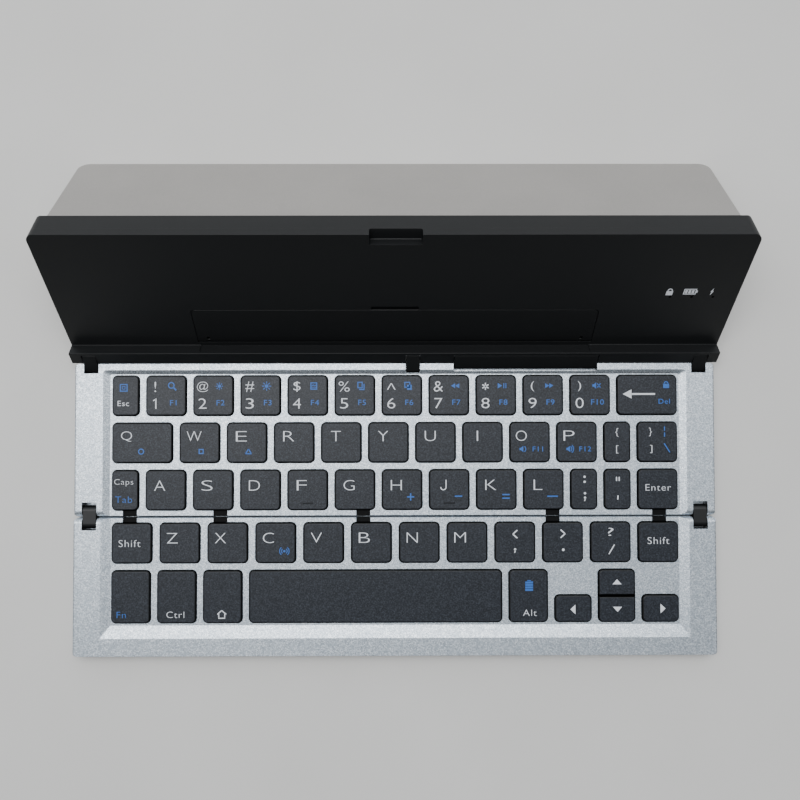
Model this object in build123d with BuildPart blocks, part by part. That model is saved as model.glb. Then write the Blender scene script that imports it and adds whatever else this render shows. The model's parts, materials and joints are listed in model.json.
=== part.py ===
from build123d import *

import os
from math import cos, radians, sin

# A folding keyboard case for a tablet, opened and standing on a table. Lengths are in
# millimetres. X runs along the keyboard, +Y points away from the typist and +Z is up. The origin
# is on the table, under the middle of the opened case.
#
# The keyboard is two halves joined by short links with a pin at each end, so that the front half
# folds over onto the rear half. The same kind of links join the rear half to the lid, which
# holds the battery. A flap in the lid's face props the tablet, and a plate hinged to the lid's
# back is the kickstand.

# ---------------------------------------------------------------------------------------------
# Overall sizes
# ---------------------------------------------------------------------------------------------
rear_width = 217.0
front_width = 217.4
lid_width = 218.2
kickstand_width = 218.6
rear_depth = 51.7
front_depth = 46.5
fold_gap = 0.3

# ---------------------------------------------------------------------------------------------
# Layers of a keyboard half, from the table up
# ---------------------------------------------------------------------------------------------
foot_height = 0.4
base_thickness = 0.8
sheet_thickness = 0.6
frame_height = 2.2
deck_thickness = 0.8
rim_rise = 1.0

base_z = foot_height
sheet_z = base_z + base_thickness
frame_z = sheet_z + sheet_thickness
deck_z = frame_z + frame_height
deck_top_z = deck_z + deck_thickness
rim_z = deck_top_z + rim_rise

# ---------------------------------------------------------------------------------------------
# Keys
# ---------------------------------------------------------------------------------------------
key_pitch = 16.0
key_opening = 14.0
key_block_width = 192.1
opening_radius = 1.8
cap_gap = 0.33
cap_height = 2.1
cap_below_rim = 0.1
cap_wall = 0.8
cap_roof = 0.8
cap_edge = 0.4
cap_hollow_radius = 0.7
plunger_radius = 1.2
dome_height = 0.55
dome_foot_radius = 2.2
dome_top_radius = 1.5

narrow = 9.4
wide = 20.8
modifier = 13.5
space_bar = 85.8
arrow = 12.8
front_row_height = 18.1
arrow_height = 9.5
first_row_y = -3.8
shift_row_y = -53.65
front_row_y = -69.65

# ---------------------------------------------------------------------------------------------
# Rims, bevels and notches. Places along Y are measured from the keyboard's rear edge.
# ---------------------------------------------------------------------------------------------
rear_bevel = (-2.13, -3.48)
front_bevel = (-92.55, -88.4)
rear_side_bevel = (98.9, 96.75)
front_side_bevel = (99.5, 96.3)
rear_recess_corners = (1.0, 0.5)
front_recess_corners = (0.5, 0.3)
rim_edge_radius = 0.6
rear_edge_radius = 0.8
front_edge_radius = 0.6
plan_corner_radius = 1.6
pocket_half_width = 97.5
rear_wall = 3.4
fold_wall = 1.2
front_wall = 6.0

tab_centres = (-89.9, -59.3, -10.85, 53.4, 89.65)
tab_width = 4.75
tab_gap = 0.1
tab_top_z = deck_top_z - 0.55
tab_bottom_z = 2.2

# how far a cut runs past the surface that it opens
overrun = 1.0

# ---------------------------------------------------------------------------------------------
# Fold: a pin in each half, and a link on both
# ---------------------------------------------------------------------------------------------
fold_pin_depth = 2.0
fold_link_radius = 1.75
fold_notch_x = 103.35
fold_notch_width = 4.9
fold_notch_rear = 4.85
fold_notch_front = 4.2
fold_notch_floor = 1.7
link_width = 4.45
pin_radius = 0.6
pin_play = 0.05
pin_grip = 2.0

# ---------------------------------------------------------------------------------------------
# Lid. In its own section, u runs up the front face and n goes in from that face to the back.
# ---------------------------------------------------------------------------------------------
lid_angle = 50.0
lid_length = 50.0
lid_back = 8.4
strip_back = 9.6
strip_start = 45.6
shell_split = 3.2
lip_depth = 4.2
lip_height = 4.6
lip_y = 0.14
lip_rise = 0.38
spine_radius = 5.0
lid_corner_radius = 2.5
lid_edge = 0.2
lid_foot_corner_radius = 1.0
front_plate = 2.0
lid_wall_x = 3.6
cavity_u = (6.6, 41.0)
front_cavity_top = 44.6
cavity_back = 6.9

lid_link_radius = 1.25
lid_lower_pin = (-1.7, -1.9)
lid_upper_pin = (2.3, -2.8)
lid_notch_width = 4.9
lid_notch_depth = 3.25
lid_notch_floor = rim_z - 3.4
lid_slot = (3.7, -1.4)
lid_link_x = (-102.95, 6.05, 103.2)
bridge_x = 44.3
bridge_width = 48.5
bridge_notch_depth = 2.55
bridge_notch_gap = 0.2
bridge_tip_radius = 0.6
bridge_tip_reach = 0.75
bridge_pin_inset = 0.8

# Tablet rest, a flap in the lid's face
flap_width = 132.0
flap_u = (6.1, 20.2)
flap_thickness = 1.2
flap_gap = 0.2
flap_corner_radius = 1.3
flap_edge = 0.25
flap_pin_radius = 0.35
flap_pin_reach = 0.7
flap_snap_x = 62.4
flap_snap_slot = (0.9, 2.2)
slit_width = 15.4
slit_top = 21.7
slit_depth = 0.9
lip_recess_width = 131.0
lip_recess_depth = 0.3
lip_recess_front = -3.4

# Thumb scoop in the lid's top edge
scoop_width = 16.0
scoop_drop = 3.75
scoop_depth = 2.9
scoop_corner_radius = 0.8
scoop_foot_radius = 0.35
scoop_x = 0.4

# Kickstand, hinged on a rod in a groove across the lid's back
stand_hinge = (43.9, 8.1)
stand_slope = 46.0
stand_inner = 0.4
stand_outer = 1.5
stand_top_reach = 0.6
stand_corner_radius = 4.0
stand_near_corner_radius = 0.5
stand_edge = 0.35
barrel_end = 0.6
barrel_radius = 1.25
groove_radius = 1.75
rod_radius = 0.5
rod_end = 0.5
rib_centres = (-106.9, -53.45, 0.0, 53.45, 106.9)
rib_width = 4.4
rib_gap = 0.3
rib_clearance = 1.9
rib_neck = 1.4

# ---------------------------------------------------------------------------------------------
# Where the pieces stand
# ---------------------------------------------------------------------------------------------
lean = radians(lid_angle)
slope = radians(stand_slope)
stand_edge_radius = (stand_outer - stand_inner) / 2
stand_middle = (stand_outer + stand_inner) / 2

# the lid's front face begins at the lip's foot, measured from the keyboard's rear top edge
face_start_y = lip_y + lip_depth * sin(lean)
face_start_z = rim_z + lip_rise - lip_depth * cos(lean)
hinge_reach = face_start_y + stand_hinge[0] * cos(lean) + stand_hinge[1] * sin(lean)
hinge_z = face_start_z + stand_hinge[0] * sin(lean) - stand_hinge[1] * cos(lean)

# the kickstand is as long as it takes for its rounded edge to meet the table
stand_length = (hinge_z + stand_middle * cos(slope) - stand_edge_radius) / sin(slope)
stand_reach = (
    hinge_reach + stand_length * cos(slope) + stand_middle * sin(slope) + stand_edge_radius
)
case_front = rear_depth + fold_gap + front_depth
rear_edge_y = (case_front - stand_reach) / 2

rear_fold_y = rear_edge_y - rear_depth
front_fold_y = rear_fold_y - fold_gap
front_edge_y = rear_edge_y - case_front
fold_pin_z = rim_z - fold_pin_depth
rear_fold_pin_y = rear_fold_y + fold_pin_depth
front_fold_pin_y = front_fold_y - fold_pin_depth

lid_face = Plane(
    origin=(0, rear_edge_y + face_start_y, face_start_z),
    x_dir=(1, 0, 0),
    z_dir=(0, -sin(lean), cos(lean)),
)
lid_section = Plane(origin=lid_face.origin, x_dir=lid_face.y_dir, z_dir=(-1, 0, 0))
stand_axis = lid_section.from_local_coords(Vector(*stand_hinge, 0))
stand_section = Plane(
    origin=stand_axis, x_dir=(0, cos(slope), -sin(slope)), z_dir=(1, 0, 0)
)
lower_pin = Vector(0, rear_edge_y + lid_lower_pin[0], rim_z + lid_lower_pin[1])
upper_pin = lid_section.from_local_coords(Vector(*lid_upper_pin, 0))
lid_link_length = (upper_pin - lower_pin).length
lid_link_plane = Plane(origin=lower_pin, x_dir=upper_pin - lower_pin, z_dir=(1, 0, 0))
cap_z = rim_z - cap_below_rim - cap_height


# ---------------------------------------------------------------------------------------------
# The key layout
# ---------------------------------------------------------------------------------------------
def key_row(names, widths, rear_y, height=key_opening):
    """Key openings of one row as (name, x, y, width, height), spread evenly over the block."""
    gap = (key_block_width - sum(widths)) / (len(widths) - 1)
    left = -key_block_width / 2
    row = []
    for name, width in zip(names, widths):
        row.append((name, left + width / 2, rear_edge_y + rear_y - height / 2, width, height))
        left += width + gap
    return row


def lettered(group, count):
    """Names of a run of equal keys that share one node."""
    return [group] * count


number_row = key_row(
    ["key_escape"] + lettered("keys_digits", 10) + ["key_backspace"],
    [narrow] + 10 * [key_opening] + [wide],
    first_row_y,
)
upper_row = key_row(
    lettered("keys_upper_letters", 10) + ["key_left_bracket", "key_right_bracket"],
    [wide] + 9 * [key_opening] + [narrow, key_opening],
    first_row_y - key_pitch,
)
home_row = key_row(
    ["key_caps"]
    + lettered("keys_home_letters", 9)
    + ["key_semicolon", "key_quote", "key_enter"],
    [narrow] + 9 * [key_opening] + [narrow, narrow, key_opening],
    first_row_y - 2 * key_pitch,
)
shift_row = key_row(
    ["key_left_shift"]
    + lettered("keys_lower_letters", 7)
    + ["key_comma", "key_period", "key_slash", "key_right_shift"],
    12 * [key_opening],
    shift_row_y,
)
bottom_row = key_row(
    ["key_function", "key_control", "key_home", "key_space", "key_alt"]
    + ["key_arrow_left", "up_and_down", "key_arrow_right"],
    3 * [modifier] + [space_bar, modifier] + 3 * [arrow],
    front_row_y,
    front_row_height,
)


def shortened(key, height, at_front):
    """A key of the bottom row cut down to one end of its opening."""
    name, x, y, width, full = key
    shift = (full - height) / 2
    return (name, x, y - shift if at_front else y + shift, width, height)


left_arrow = shortened(bottom_row[5], arrow_height, at_front=True)
right_arrow = shortened(bottom_row[7], arrow_height, at_front=True)
shared_opening = bottom_row[6]
half_height = front_row_height / 2
up_arrow = ("key_arrow_up",) + shortened(shared_opening, half_height, at_front=False)[1:]
down_arrow = ("key_arrow_down",) + shortened(shared_opening, half_height, at_front=True)[1:]

rear_openings = number_row + upper_row + home_row
front_openings = shift_row + bottom_row[:5] + [left_arrow, shared_opening, right_arrow]
rear_keys = rear_openings
front_keys = shift_row + bottom_row[:5] + [left_arrow, up_arrow, down_arrow, right_arrow]


# ---------------------------------------------------------------------------------------------
# Shared operations. Each one works on the part that is being built when it is called.
# ---------------------------------------------------------------------------------------------
def half_block(width, y_front, y_rear, fold_at_front, outer_radius):
    """A keyboard half's outer block above its base, rounded about the fold pins."""
    middle_y = (y_front + y_rear) / 2
    middle_z = (sheet_z + rim_z) / 2
    with BuildSketch(Plane.XY.offset(sheet_z)) as plan:
        with Locations((0, middle_y)):
            RectangleRounded(width, y_rear - y_front, plan_corner_radius)
    extrude(plan.sketch, amount=rim_z - sheet_z)
    with BuildSketch(Plane.YZ) as side:
        with Locations((middle_y, middle_z)):
            Rectangle(y_rear - y_front, rim_z - sheet_z)
        top = side.vertices().group_by(Axis.Y)[-1].sort_by(Axis.X)
        fold_corner, outer_corner = (top[0], top[-1]) if fold_at_front else (top[-1], top[0])
        fillet(fold_corner, fold_pin_depth)
        fillet(outer_corner, outer_radius)
    extrude(side.sketch, amount=width, both=True, mode=Mode.INTERSECT)
    with BuildSketch(Plane.XZ) as front:
        with Locations((0, middle_z)):
            Rectangle(width, rim_z - sheet_z)
        fillet(front.vertices().group_by(Axis.Y)[-1], rim_edge_radius)
    extrude(front.sketch, amount=2 * case_front, both=True, mode=Mode.INTERSECT)


def cut_box(x_range, y_range, z_range):
    """Cuts an upright box out of the part."""
    with BuildSketch(Plane.XY.offset(z_range[0])) as floor:
        with Locations((sum(x_range) / 2, sum(y_range) / 2)):
            Rectangle(x_range[1] - x_range[0], y_range[1] - y_range[0])
    extrude(floor.sketch, amount=z_range[1] - z_range[0], mode=Mode.SUBTRACT)


def cut_recess(side_bevel, closed_bevel, open_y, corners):
    """Sinks the key deck below the rim, with sloping sides and one open end at the fold."""
    top_y, foot_y = (rear_edge_y + place for place in closed_bevel)
    layers = []
    for half_span, closed_y, z, radius in (
        (side_bevel[1], foot_y, deck_top_z, corners[1]),
        (side_bevel[0], top_y, rim_z, corners[0]),
    ):
        with BuildSketch(Plane.XY.offset(z)) as layer:
            with Locations((0, (closed_y + open_y) / 2)):
                RectangleRounded(2 * half_span, abs(closed_y - open_y), radius)
        layers.append(layer.sketch)
    loft(layers, mode=Mode.SUBTRACT)


def cut_openings(openings, grow, z_low, z_high):
    """Cuts every key opening, each side grown outwards by a given amount."""
    with BuildSketch(Plane.XY.offset(z_low)) as holes:
        for _, x, y, width, height in openings:
            with Locations((x, y)):
                RectangleRounded(width + 2 * grow, height + 2 * grow, opening_radius)
    extrude(holes.sketch, amount=z_high - z_low, mode=Mode.SUBTRACT)


def pins(places, y, z, radius, mode=Mode.ADD):
    """Round bars along X, each given as (x middle, length)."""
    for x, length in places:
        with BuildSketch(Plane.YZ.offset(x - length / 2)) as end:
            with Locations((y, z)):
                Circle(radius)
        extrude(end.sketch, amount=length, mode=mode)


def rounded_plate(width, y_front, y_rear, z, thickness, radius):
    """A flat plate with rounded corners, lying level."""
    with BuildSketch(Plane.XY.offset(z)) as plan:
        with Locations((0, (y_front + y_rear) / 2)):
            RectangleRounded(width, y_rear - y_front, radius)
    extrude(plan.sketch, amount=thickness)


def screw_holes(places, z, radius, depth):
    """Round holes from below at the given places."""
    with BuildSketch(Plane.XY.offset(z)) as ring:
        with Locations(*places):
            Circle(radius)
    extrude(ring.sketch, amount=depth, mode=Mode.SUBTRACT)


def screws(places, z, head_radius, head_height, shank_radius, length):
    """Flat-headed screws standing on their heads."""
    with BuildSketch(Plane.XY.offset(z)) as heads:
        with Locations(*places):
            Circle(head_radius)
    extrude(heads.sketch, amount=head_height)
    with BuildSketch(Plane.XY.offset(z + head_height)) as shanks:
        with Locations(*places):
            Circle(shank_radius)
    extrude(shanks.sketch, amount=length - head_height)


def face_box(x_range, u_range, n_range, mode=Mode.SUBTRACT):
    """A box square to the lid's face, from depth n_range[0] to n_range[1] behind it."""
    with BuildSketch(lid_face.offset(-n_range[0])) as patch:
        with Locations((sum(x_range) / 2, sum(u_range) / 2)):
            Rectangle(x_range[1] - x_range[0], u_range[1] - u_range[0])
    extrude(patch.sketch, amount=n_range[0] - n_range[1], mode=mode)


def lid_cylinders(places, u, n, radius, mode=Mode.ADD):
    """Round bars along X in the lid's section, each given as (x middle, length)."""
    for x, length in places:
        with BuildSketch(lid_section.offset(-x)) as end:
            with Locations((u, n)):
                Circle(radius)
        extrude(end.sketch, amount=length / 2, both=True, mode=mode)


# ---------------------------------------------------------------------------------------------
# Places shared by several pieces
# ---------------------------------------------------------------------------------------------
fold_links_x = (-fold_notch_x, fold_notch_x)
fold_pin_places = [(x, link_width + 2 * pin_grip) for x in fold_links_x]
lid_pin_places = [(x, link_width + 2 * pin_grip) for x in lid_link_x]
bridge_notch_x = [
    bridge_x + side * (bridge_width / 2 + bridge_notch_gap) for side in (-1, 1)
]
bridge_pin_length = 2 * bridge_pin_inset + pin_grip
bridge_pin_places = [
    (bridge_x + side * (bridge_width / 2 + pin_grip / 2 - bridge_pin_inset), bridge_pin_length)
    for side in (-1, 1)
]

screw_x = 102.0
rear_screw_y = [rear_edge_y - 11.0, rear_edge_y - 25.0, rear_edge_y - 39.0]
front_screw_y = [front_fold_y - 11.0, front_fold_y - 24.0, front_fold_y - 37.0]
rear_screw_places = [(x, y) for x in (-screw_x, screw_x) for y in rear_screw_y]
front_screw_places = [(x, y) for x in (-screw_x, screw_x) for y in front_screw_y]
screw_head = 1.3
screw_head_height = 0.5
screw_shank = 0.7
screw_length = 3.0

magnet_size = (10.0, 3.0, 1.6)
front_magnet_x = 70.0
front_magnet_y = front_edge_y + front_wall / 2
lid_magnet_u = (42.0, 45.4)

foot_radius = 4.0
foot_x = 92.0
rear_feet_y = (rear_edge_y - 9.0, rear_fold_y + 9.0)
front_feet_y = (front_fold_y - 9.0, front_edge_y + 7.0)

sheet_margin = 0.2
frame_grow = 0.05
sheet_corner_radius = 1.0
foot_chamfer = 0.1
base_chamfer = 0.25


def tab_cuts(y_low, y_high):
    """Notches in the deck's strip beside the fold, for the tabs of the black key frame."""
    for x in tab_centres:
        cut_box(
            (x - tab_width / 2, x + tab_width / 2), (y_low, y_high), (tab_bottom_z, rim_z)
        )


def frame_tabs(y_low, y_high):
    """The key frame's tabs, which reach through the deck's strip to the fold."""
    with BuildSketch(Plane.XY.offset(tab_bottom_z)) as tabs:
        for x in tab_centres:
            with Locations((x, (y_low + y_high) / 2)):
                Rectangle(tab_width - 2 * tab_gap, y_high - y_low)
    extrude(tabs.sketch, amount=tab_top_z - tab_bottom_z)


# ---------------------------------------------------------------------------------------------
# Rear half
# ---------------------------------------------------------------------------------------------
rear_pocket_y = (rear_fold_y + fold_wall, rear_edge_y - rear_wall)
home_row_front = rear_edge_y + first_row_y - 2 * key_pitch - key_opening

with BuildPart() as rear_deck:
    half_block(rear_width, rear_fold_y, rear_edge_y, fold_at_front=True, outer_radius=rear_edge_radius)
    cut_box((-pocket_half_width, pocket_half_width), rear_pocket_y, (sheet_z, deck_z))
    cut_recess(rear_side_bevel, rear_bevel, rear_fold_y - fold_pin_depth, rear_recess_corners)
    cut_openings(rear_openings, 0, deck_z, rim_z)
    tab_cuts(rear_fold_y - overrun, home_row_front + overrun)
    for x in fold_links_x:
        cut_box(
            (x - fold_notch_width / 2, x + fold_notch_width / 2),
            (rear_fold_y - overrun, rear_fold_y + fold_notch_rear),
            (fold_notch_floor, rim_z + overrun),
        )
    for x in lid_link_x:
        cut_box(
            (x - lid_notch_width / 2, x + lid_notch_width / 2),
            (rear_edge_y - lid_notch_depth, rear_edge_y + overrun),
            (lid_notch_floor, rim_z + overrun),
        )
    cut_box(
        bridge_notch_x,
        (rear_edge_y - bridge_notch_depth, rear_edge_y + overrun),
        (lid_notch_floor, rim_z + overrun),
    )
    pins(fold_pin_places, rear_fold_pin_y, fold_pin_z, pin_radius, Mode.SUBTRACT)
    pins(lid_pin_places, lower_pin.Y, lower_pin.Z, pin_radius, Mode.SUBTRACT)
    screw_holes(rear_screw_places, sheet_z, screw_shank, screw_length - base_thickness)
rear_deck.part.label = "rear_deck"

with BuildPart() as rear_key_frame:
    rounded_plate(
        2 * (pocket_half_width - sheet_margin),
        rear_pocket_y[0] + sheet_margin,
        rear_pocket_y[1] - sheet_margin,
        frame_z,
        frame_height,
        sheet_corner_radius,
    )
    cut_openings(rear_openings, frame_grow, frame_z, deck_z)
    frame_tabs(rear_fold_y + tab_gap, home_row_front)
rear_key_frame.part.label = "rear_key_frame"

with BuildPart() as rear_switch_sheet:
    rounded_plate(
        2 * (pocket_half_width - sheet_margin),
        rear_pocket_y[0] + sheet_margin,
        rear_pocket_y[1] - sheet_margin,
        sheet_z,
        sheet_thickness,
        sheet_corner_radius,
    )
rear_switch_sheet.part.label = "rear_switch_sheet"

with BuildPart() as rear_domes:
    with Locations(*[(x, y, frame_z) for _, x, y, _, _ in rear_keys]):
        Cone(
            dome_foot_radius,
            dome_top_radius,
            dome_height,
            align=(Align.CENTER, Align.CENTER, Align.MIN),
        )
rear_domes.part.label = "rear_domes"

with BuildPart() as rear_base:
    rounded_plate(
        rear_width, rear_fold_y, rear_edge_y, base_z, base_thickness, plan_corner_radius
    )
    screw_holes(rear_screw_places, base_z, screw_head, screw_head_height)
    screw_holes(rear_screw_places, base_z, screw_shank, base_thickness)
    chamfer(rear_base.faces().sort_by(Axis.Z)[0].outer_wire().edges(), base_chamfer)
rear_base.part.label = "rear_base"

with BuildPart() as rear_feet:
    with BuildSketch():
        for y in rear_feet_y:
            with Locations((-foot_x, y), (foot_x, y)):
                Circle(foot_radius)
    extrude(amount=foot_height)
    chamfer(rear_feet.faces().group_by(Axis.Z)[0].edges(), foot_chamfer)
rear_feet.part.label = "rear_feet"

with BuildPart() as rear_fold_pins:
    pins(fold_pin_places, rear_fold_pin_y, fold_pin_z, pin_radius)
rear_fold_pins.part.label = "rear_fold_pins"

with BuildPart() as lid_lower_pins:
    pins(lid_pin_places, lower_pin.Y, lower_pin.Z, pin_radius)
lid_lower_pins.part.label = "lid_lower_pins"

with BuildPart() as rear_screws:
    screws(
        rear_screw_places, base_z, screw_head, screw_head_height, screw_shank, screw_length
    )
rear_screws.part.label = "rear_screws"

# ---------------------------------------------------------------------------------------------
# Front half
# ---------------------------------------------------------------------------------------------
front_pocket_y = (front_edge_y + front_wall, front_fold_y - fold_wall)
shift_row_rear = rear_edge_y + shift_row_y
magnet_places = [(-front_magnet_x, front_magnet_y), (front_magnet_x, front_magnet_y)]

with BuildPart() as front_deck:
    half_block(
        front_width,
        front_edge_y,
        front_fold_y,
        fold_at_front=False,
        outer_radius=front_edge_radius,
    )
    cut_box((-pocket_half_width, pocket_half_width), front_pocket_y, (sheet_z, deck_z))
    cut_recess(
        front_side_bevel, front_bevel, front_fold_y + fold_pin_depth, front_recess_corners
    )
    cut_openings(front_openings, 0, deck_z, rim_z)
    tab_cuts(shift_row_rear - overrun, front_fold_y + overrun)
    for x in fold_links_x:
        cut_box(
            (x - fold_notch_width / 2, x + fold_notch_width / 2),
            (front_fold_y - fold_notch_front, front_fold_y + overrun),
            (fold_notch_floor, rim_z + overrun),
        )
    for x, y in magnet_places:
        cut_box(
            (x - magnet_size[0] / 2, x + magnet_size[0] / 2),
            (y - magnet_size[1] / 2, y + magnet_size[1] / 2),
            (sheet_z, sheet_z + magnet_size[2]),
        )
    pins(fold_pin_places, front_fold_pin_y, fold_pin_z, pin_radius, Mode.SUBTRACT)
    screw_holes(front_screw_places, sheet_z, screw_shank, screw_length - base_thickness)
front_deck.part.label = "front_deck"

with BuildPart() as front_key_frame:
    rounded_plate(
        2 * (pocket_half_width - sheet_margin),
        front_pocket_y[0] + sheet_margin,
        front_pocket_y[1] - sheet_margin,
        frame_z,
        frame_height,
        sheet_corner_radius,
    )
    cut_openings(front_openings, frame_grow, frame_z, deck_z)
    frame_tabs(shift_row_rear, front_fold_y - tab_gap)
front_key_frame.part.label = "front_key_frame"

with BuildPart() as front_switch_sheet:
    rounded_plate(
        2 * (pocket_half_width - sheet_margin),
        front_pocket_y[0] + sheet_margin,
        front_pocket_y[1] - sheet_margin,
        sheet_z,
        sheet_thickness,
        sheet_corner_radius,
    )
front_switch_sheet.part.label = "front_switch_sheet"

with BuildPart() as front_domes:
    with Locations(*[(x, y, frame_z) for _, x, y, _, _ in front_keys]):
        Cone(
            dome_foot_radius,
            dome_top_radius,
            dome_height,
            align=(Align.CENTER, Align.CENTER, Align.MIN),
        )
front_domes.part.label = "front_domes"

with BuildPart() as front_base:
    rounded_plate(
        front_width, front_edge_y, front_fold_y, base_z, base_thickness, plan_corner_radius
    )
    screw_holes(front_screw_places, base_z, screw_head, screw_head_height)
    screw_holes(front_screw_places, base_z, screw_shank, base_thickness)
    chamfer(front_base.faces().sort_by(Axis.Z)[0].outer_wire().edges(), base_chamfer)
front_base.part.label = "front_base"

with BuildPart() as front_feet:
    with BuildSketch():
        for y in front_feet_y:
            with Locations((-foot_x, y), (foot_x, y)):
                Circle(foot_radius)
    extrude(amount=foot_height)
    chamfer(front_feet.faces().group_by(Axis.Z)[0].edges(), foot_chamfer)
front_feet.part.label = "front_feet"

with BuildPart() as front_fold_pins:
    pins(fold_pin_places, front_fold_pin_y, fold_pin_z, pin_radius)
front_fold_pins.part.label = "front_fold_pins"

with BuildPart() as front_screws:
    screws(
        front_screw_places, base_z, screw_head, screw_head_height, screw_shank, screw_length
    )
front_screws.part.label = "front_screws"

with BuildPart() as front_magnets:
    with BuildSketch(Plane.XY.offset(sheet_z)):
        with Locations(*magnet_places):
            Rectangle(magnet_size[0], magnet_size[1])
    extrude(amount=magnet_size[2])
front_magnets.part.label = "front_magnets"

# ---------------------------------------------------------------------------------------------
# Links between the two halves, and between the rear half and the lid
# ---------------------------------------------------------------------------------------------
fold_link_length = rear_fold_pin_y - front_fold_pin_y

with BuildPart() as fold_links:
    for x in fold_links_x:
        with BuildSketch(Plane.YZ.offset(x)) as outline:
            with Locations(((rear_fold_pin_y + front_fold_pin_y) / 2, fold_pin_z)):
                SlotCenterToCenter(fold_link_length, 2 * fold_link_radius)
            with Locations(
                (rear_fold_pin_y, fold_pin_z), (front_fold_pin_y, fold_pin_z)
            ):
                Circle(pin_radius + pin_play, mode=Mode.SUBTRACT)
        extrude(amount=link_width / 2, both=True)
fold_links.part.label = "fold_links"

with BuildPart() as lid_links:
    for x in lid_link_x:
        with BuildSketch(lid_link_plane.offset(x)) as outline:
            with Locations((lid_link_length / 2, 0)):
                SlotCenterToCenter(lid_link_length, 2 * lid_link_radius)
            with Locations((0, 0), (lid_link_length, 0)):
                Circle(pin_radius + pin_play, mode=Mode.SUBTRACT)
        extrude(amount=link_width / 2, both=True)
lid_links.part.label = "lid_links"

ribbon_width = 43.0
ribbon_thickness = 0.25
ribbon_short = 1.7
bridge_roof = 0.1
bridge_wall = 2.25

with BuildPart() as cable_bridge:
    with BuildSketch(lid_link_plane.offset(bridge_x)) as section:
        with Locations((bridge_tip_reach, 0)):
            Circle(bridge_tip_radius)
        with Locations((lid_link_length, 0)):
            Circle(lid_link_radius)
        make_hull()
    extrude(amount=bridge_width / 2, both=True)
    with BuildSketch(lid_link_plane.offset(bridge_x)) as channel:
        with Locations((lid_link_length / 2, -bridge_roof - lid_link_radius)):
            Rectangle(4 * lid_link_length, 2 * lid_link_radius)
    extrude(amount=bridge_width / 2 - bridge_wall, both=True, mode=Mode.SUBTRACT)
    with BuildSketch(lid_link_plane.offset(bridge_x)) as bores:
        with Locations((lid_link_length, 0)):
            Circle(pin_radius + pin_play)
    extrude(amount=bridge_width, both=True, mode=Mode.SUBTRACT)
cable_bridge.part.label = "cable_bridge"

with BuildPart() as bridge_ribbon:
    with BuildSketch(lid_link_plane.offset(bridge_x)) as strip:
        with Locations((lid_link_length / 2, -bridge_roof - ribbon_thickness / 2)):
            Rectangle(lid_link_length - ribbon_short, ribbon_thickness)
    extrude(amount=ribbon_width / 2, both=True)
bridge_ribbon.part.label = "bridge_ribbon"

# ---------------------------------------------------------------------------------------------
# Lid
# ---------------------------------------------------------------------------------------------
cavity_x = (-lid_width / 2 + lid_wall_x, lid_width / 2 - lid_wall_x)
lid_screw_places = [(x, u) for x in (-107.3, 107.3) for u in (9.0, 24.0, 37.0)]
lid_screw_head = 1.0
lid_screw_head_height = 0.6
lid_screw_shank = 0.55
lid_screw_tip = 2.2
lens_places = [(87.6, 25.7), (94.5, 25.7), (101.3, 25.7)]
lens_radius = 0.45
port_u = (27.5, 35.0)
port_n = (front_plate, front_plate + 2.5)
port_depth = 5.0
port_wall = 0.3
port_mouth_inset = 0.3
port_x = lid_width / 2 - port_mouth_inset
port_end_wall = 0.8
tongue_inset = 1.2
tongue_u = (port_u[0] + 1.6, port_u[1] - 1.6)
tongue_n = (port_n[0] + 0.9, port_n[0] + 1.5)
board_n = (port_n[1], port_n[1] + 0.8)
board_x = (60.0, lid_width / 2 - lid_wall_x - 0.3)
board_u = (9.0, 39.0)
lead_socket = ((62.0, 68.0), (12.0, 16.0), (board_n[0] - 1.6, board_n[0]))
radio_chip = ((74.0, 80.0), (22.0, 28.0), (board_n[0] - 0.9, board_n[0]))
battery_x = (-62.0, 2.0)
battery_u = (8.5, 38.5)
battery_n = (front_plate, front_plate + 4.2)
battery_edge = 1.5
lid_magnet_places = (-front_magnet_x, front_magnet_x)

# the space that the thumb scoop takes out of the lid's top edge
lid_end_plane = Plane(
    origin=lid_face.from_local_coords(Vector(scoop_x, lid_length, 0)),
    x_dir=(1, 0, 0),
    z_dir=lid_face.y_dir,
)
scoop_space = extrude(
    lid_end_plane.offset(-scoop_drop)
    * RectangleRounded(scoop_width, 2 * scoop_depth, scoop_corner_radius),
    amount=scoop_drop + overrun,
)
scoop_foot = scoop_space.edges().group_by(Axis(lid_end_plane.origin, lid_end_plane.z_dir))[0]
scoop_space = fillet(scoop_foot, scoop_foot_radius)


def cut_lid_plan():
    """Rounds the lid's corners as seen square to its face."""
    with BuildSketch(lid_face) as plan:
        with Locations((0, lid_length / 2)):
            Rectangle(lid_width, lid_length)
        corners = plan.vertices().group_by(Axis.Y)
        fillet(corners[-1], lid_corner_radius)
        fillet(corners[0], lid_foot_corner_radius)
    extrude(plan.sketch, amount=2 * strip_back, both=True, mode=Mode.INTERSECT)


def cut_lid_screws(radius, n_range):
    """Round holes square to the lid's face at the lid's screws."""
    with BuildSketch(lid_face.offset(-n_range[0])) as ring:
        with Locations(*lid_screw_places):
            Circle(radius)
    extrude(ring.sketch, amount=n_range[0] - n_range[1], mode=Mode.SUBTRACT)


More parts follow.
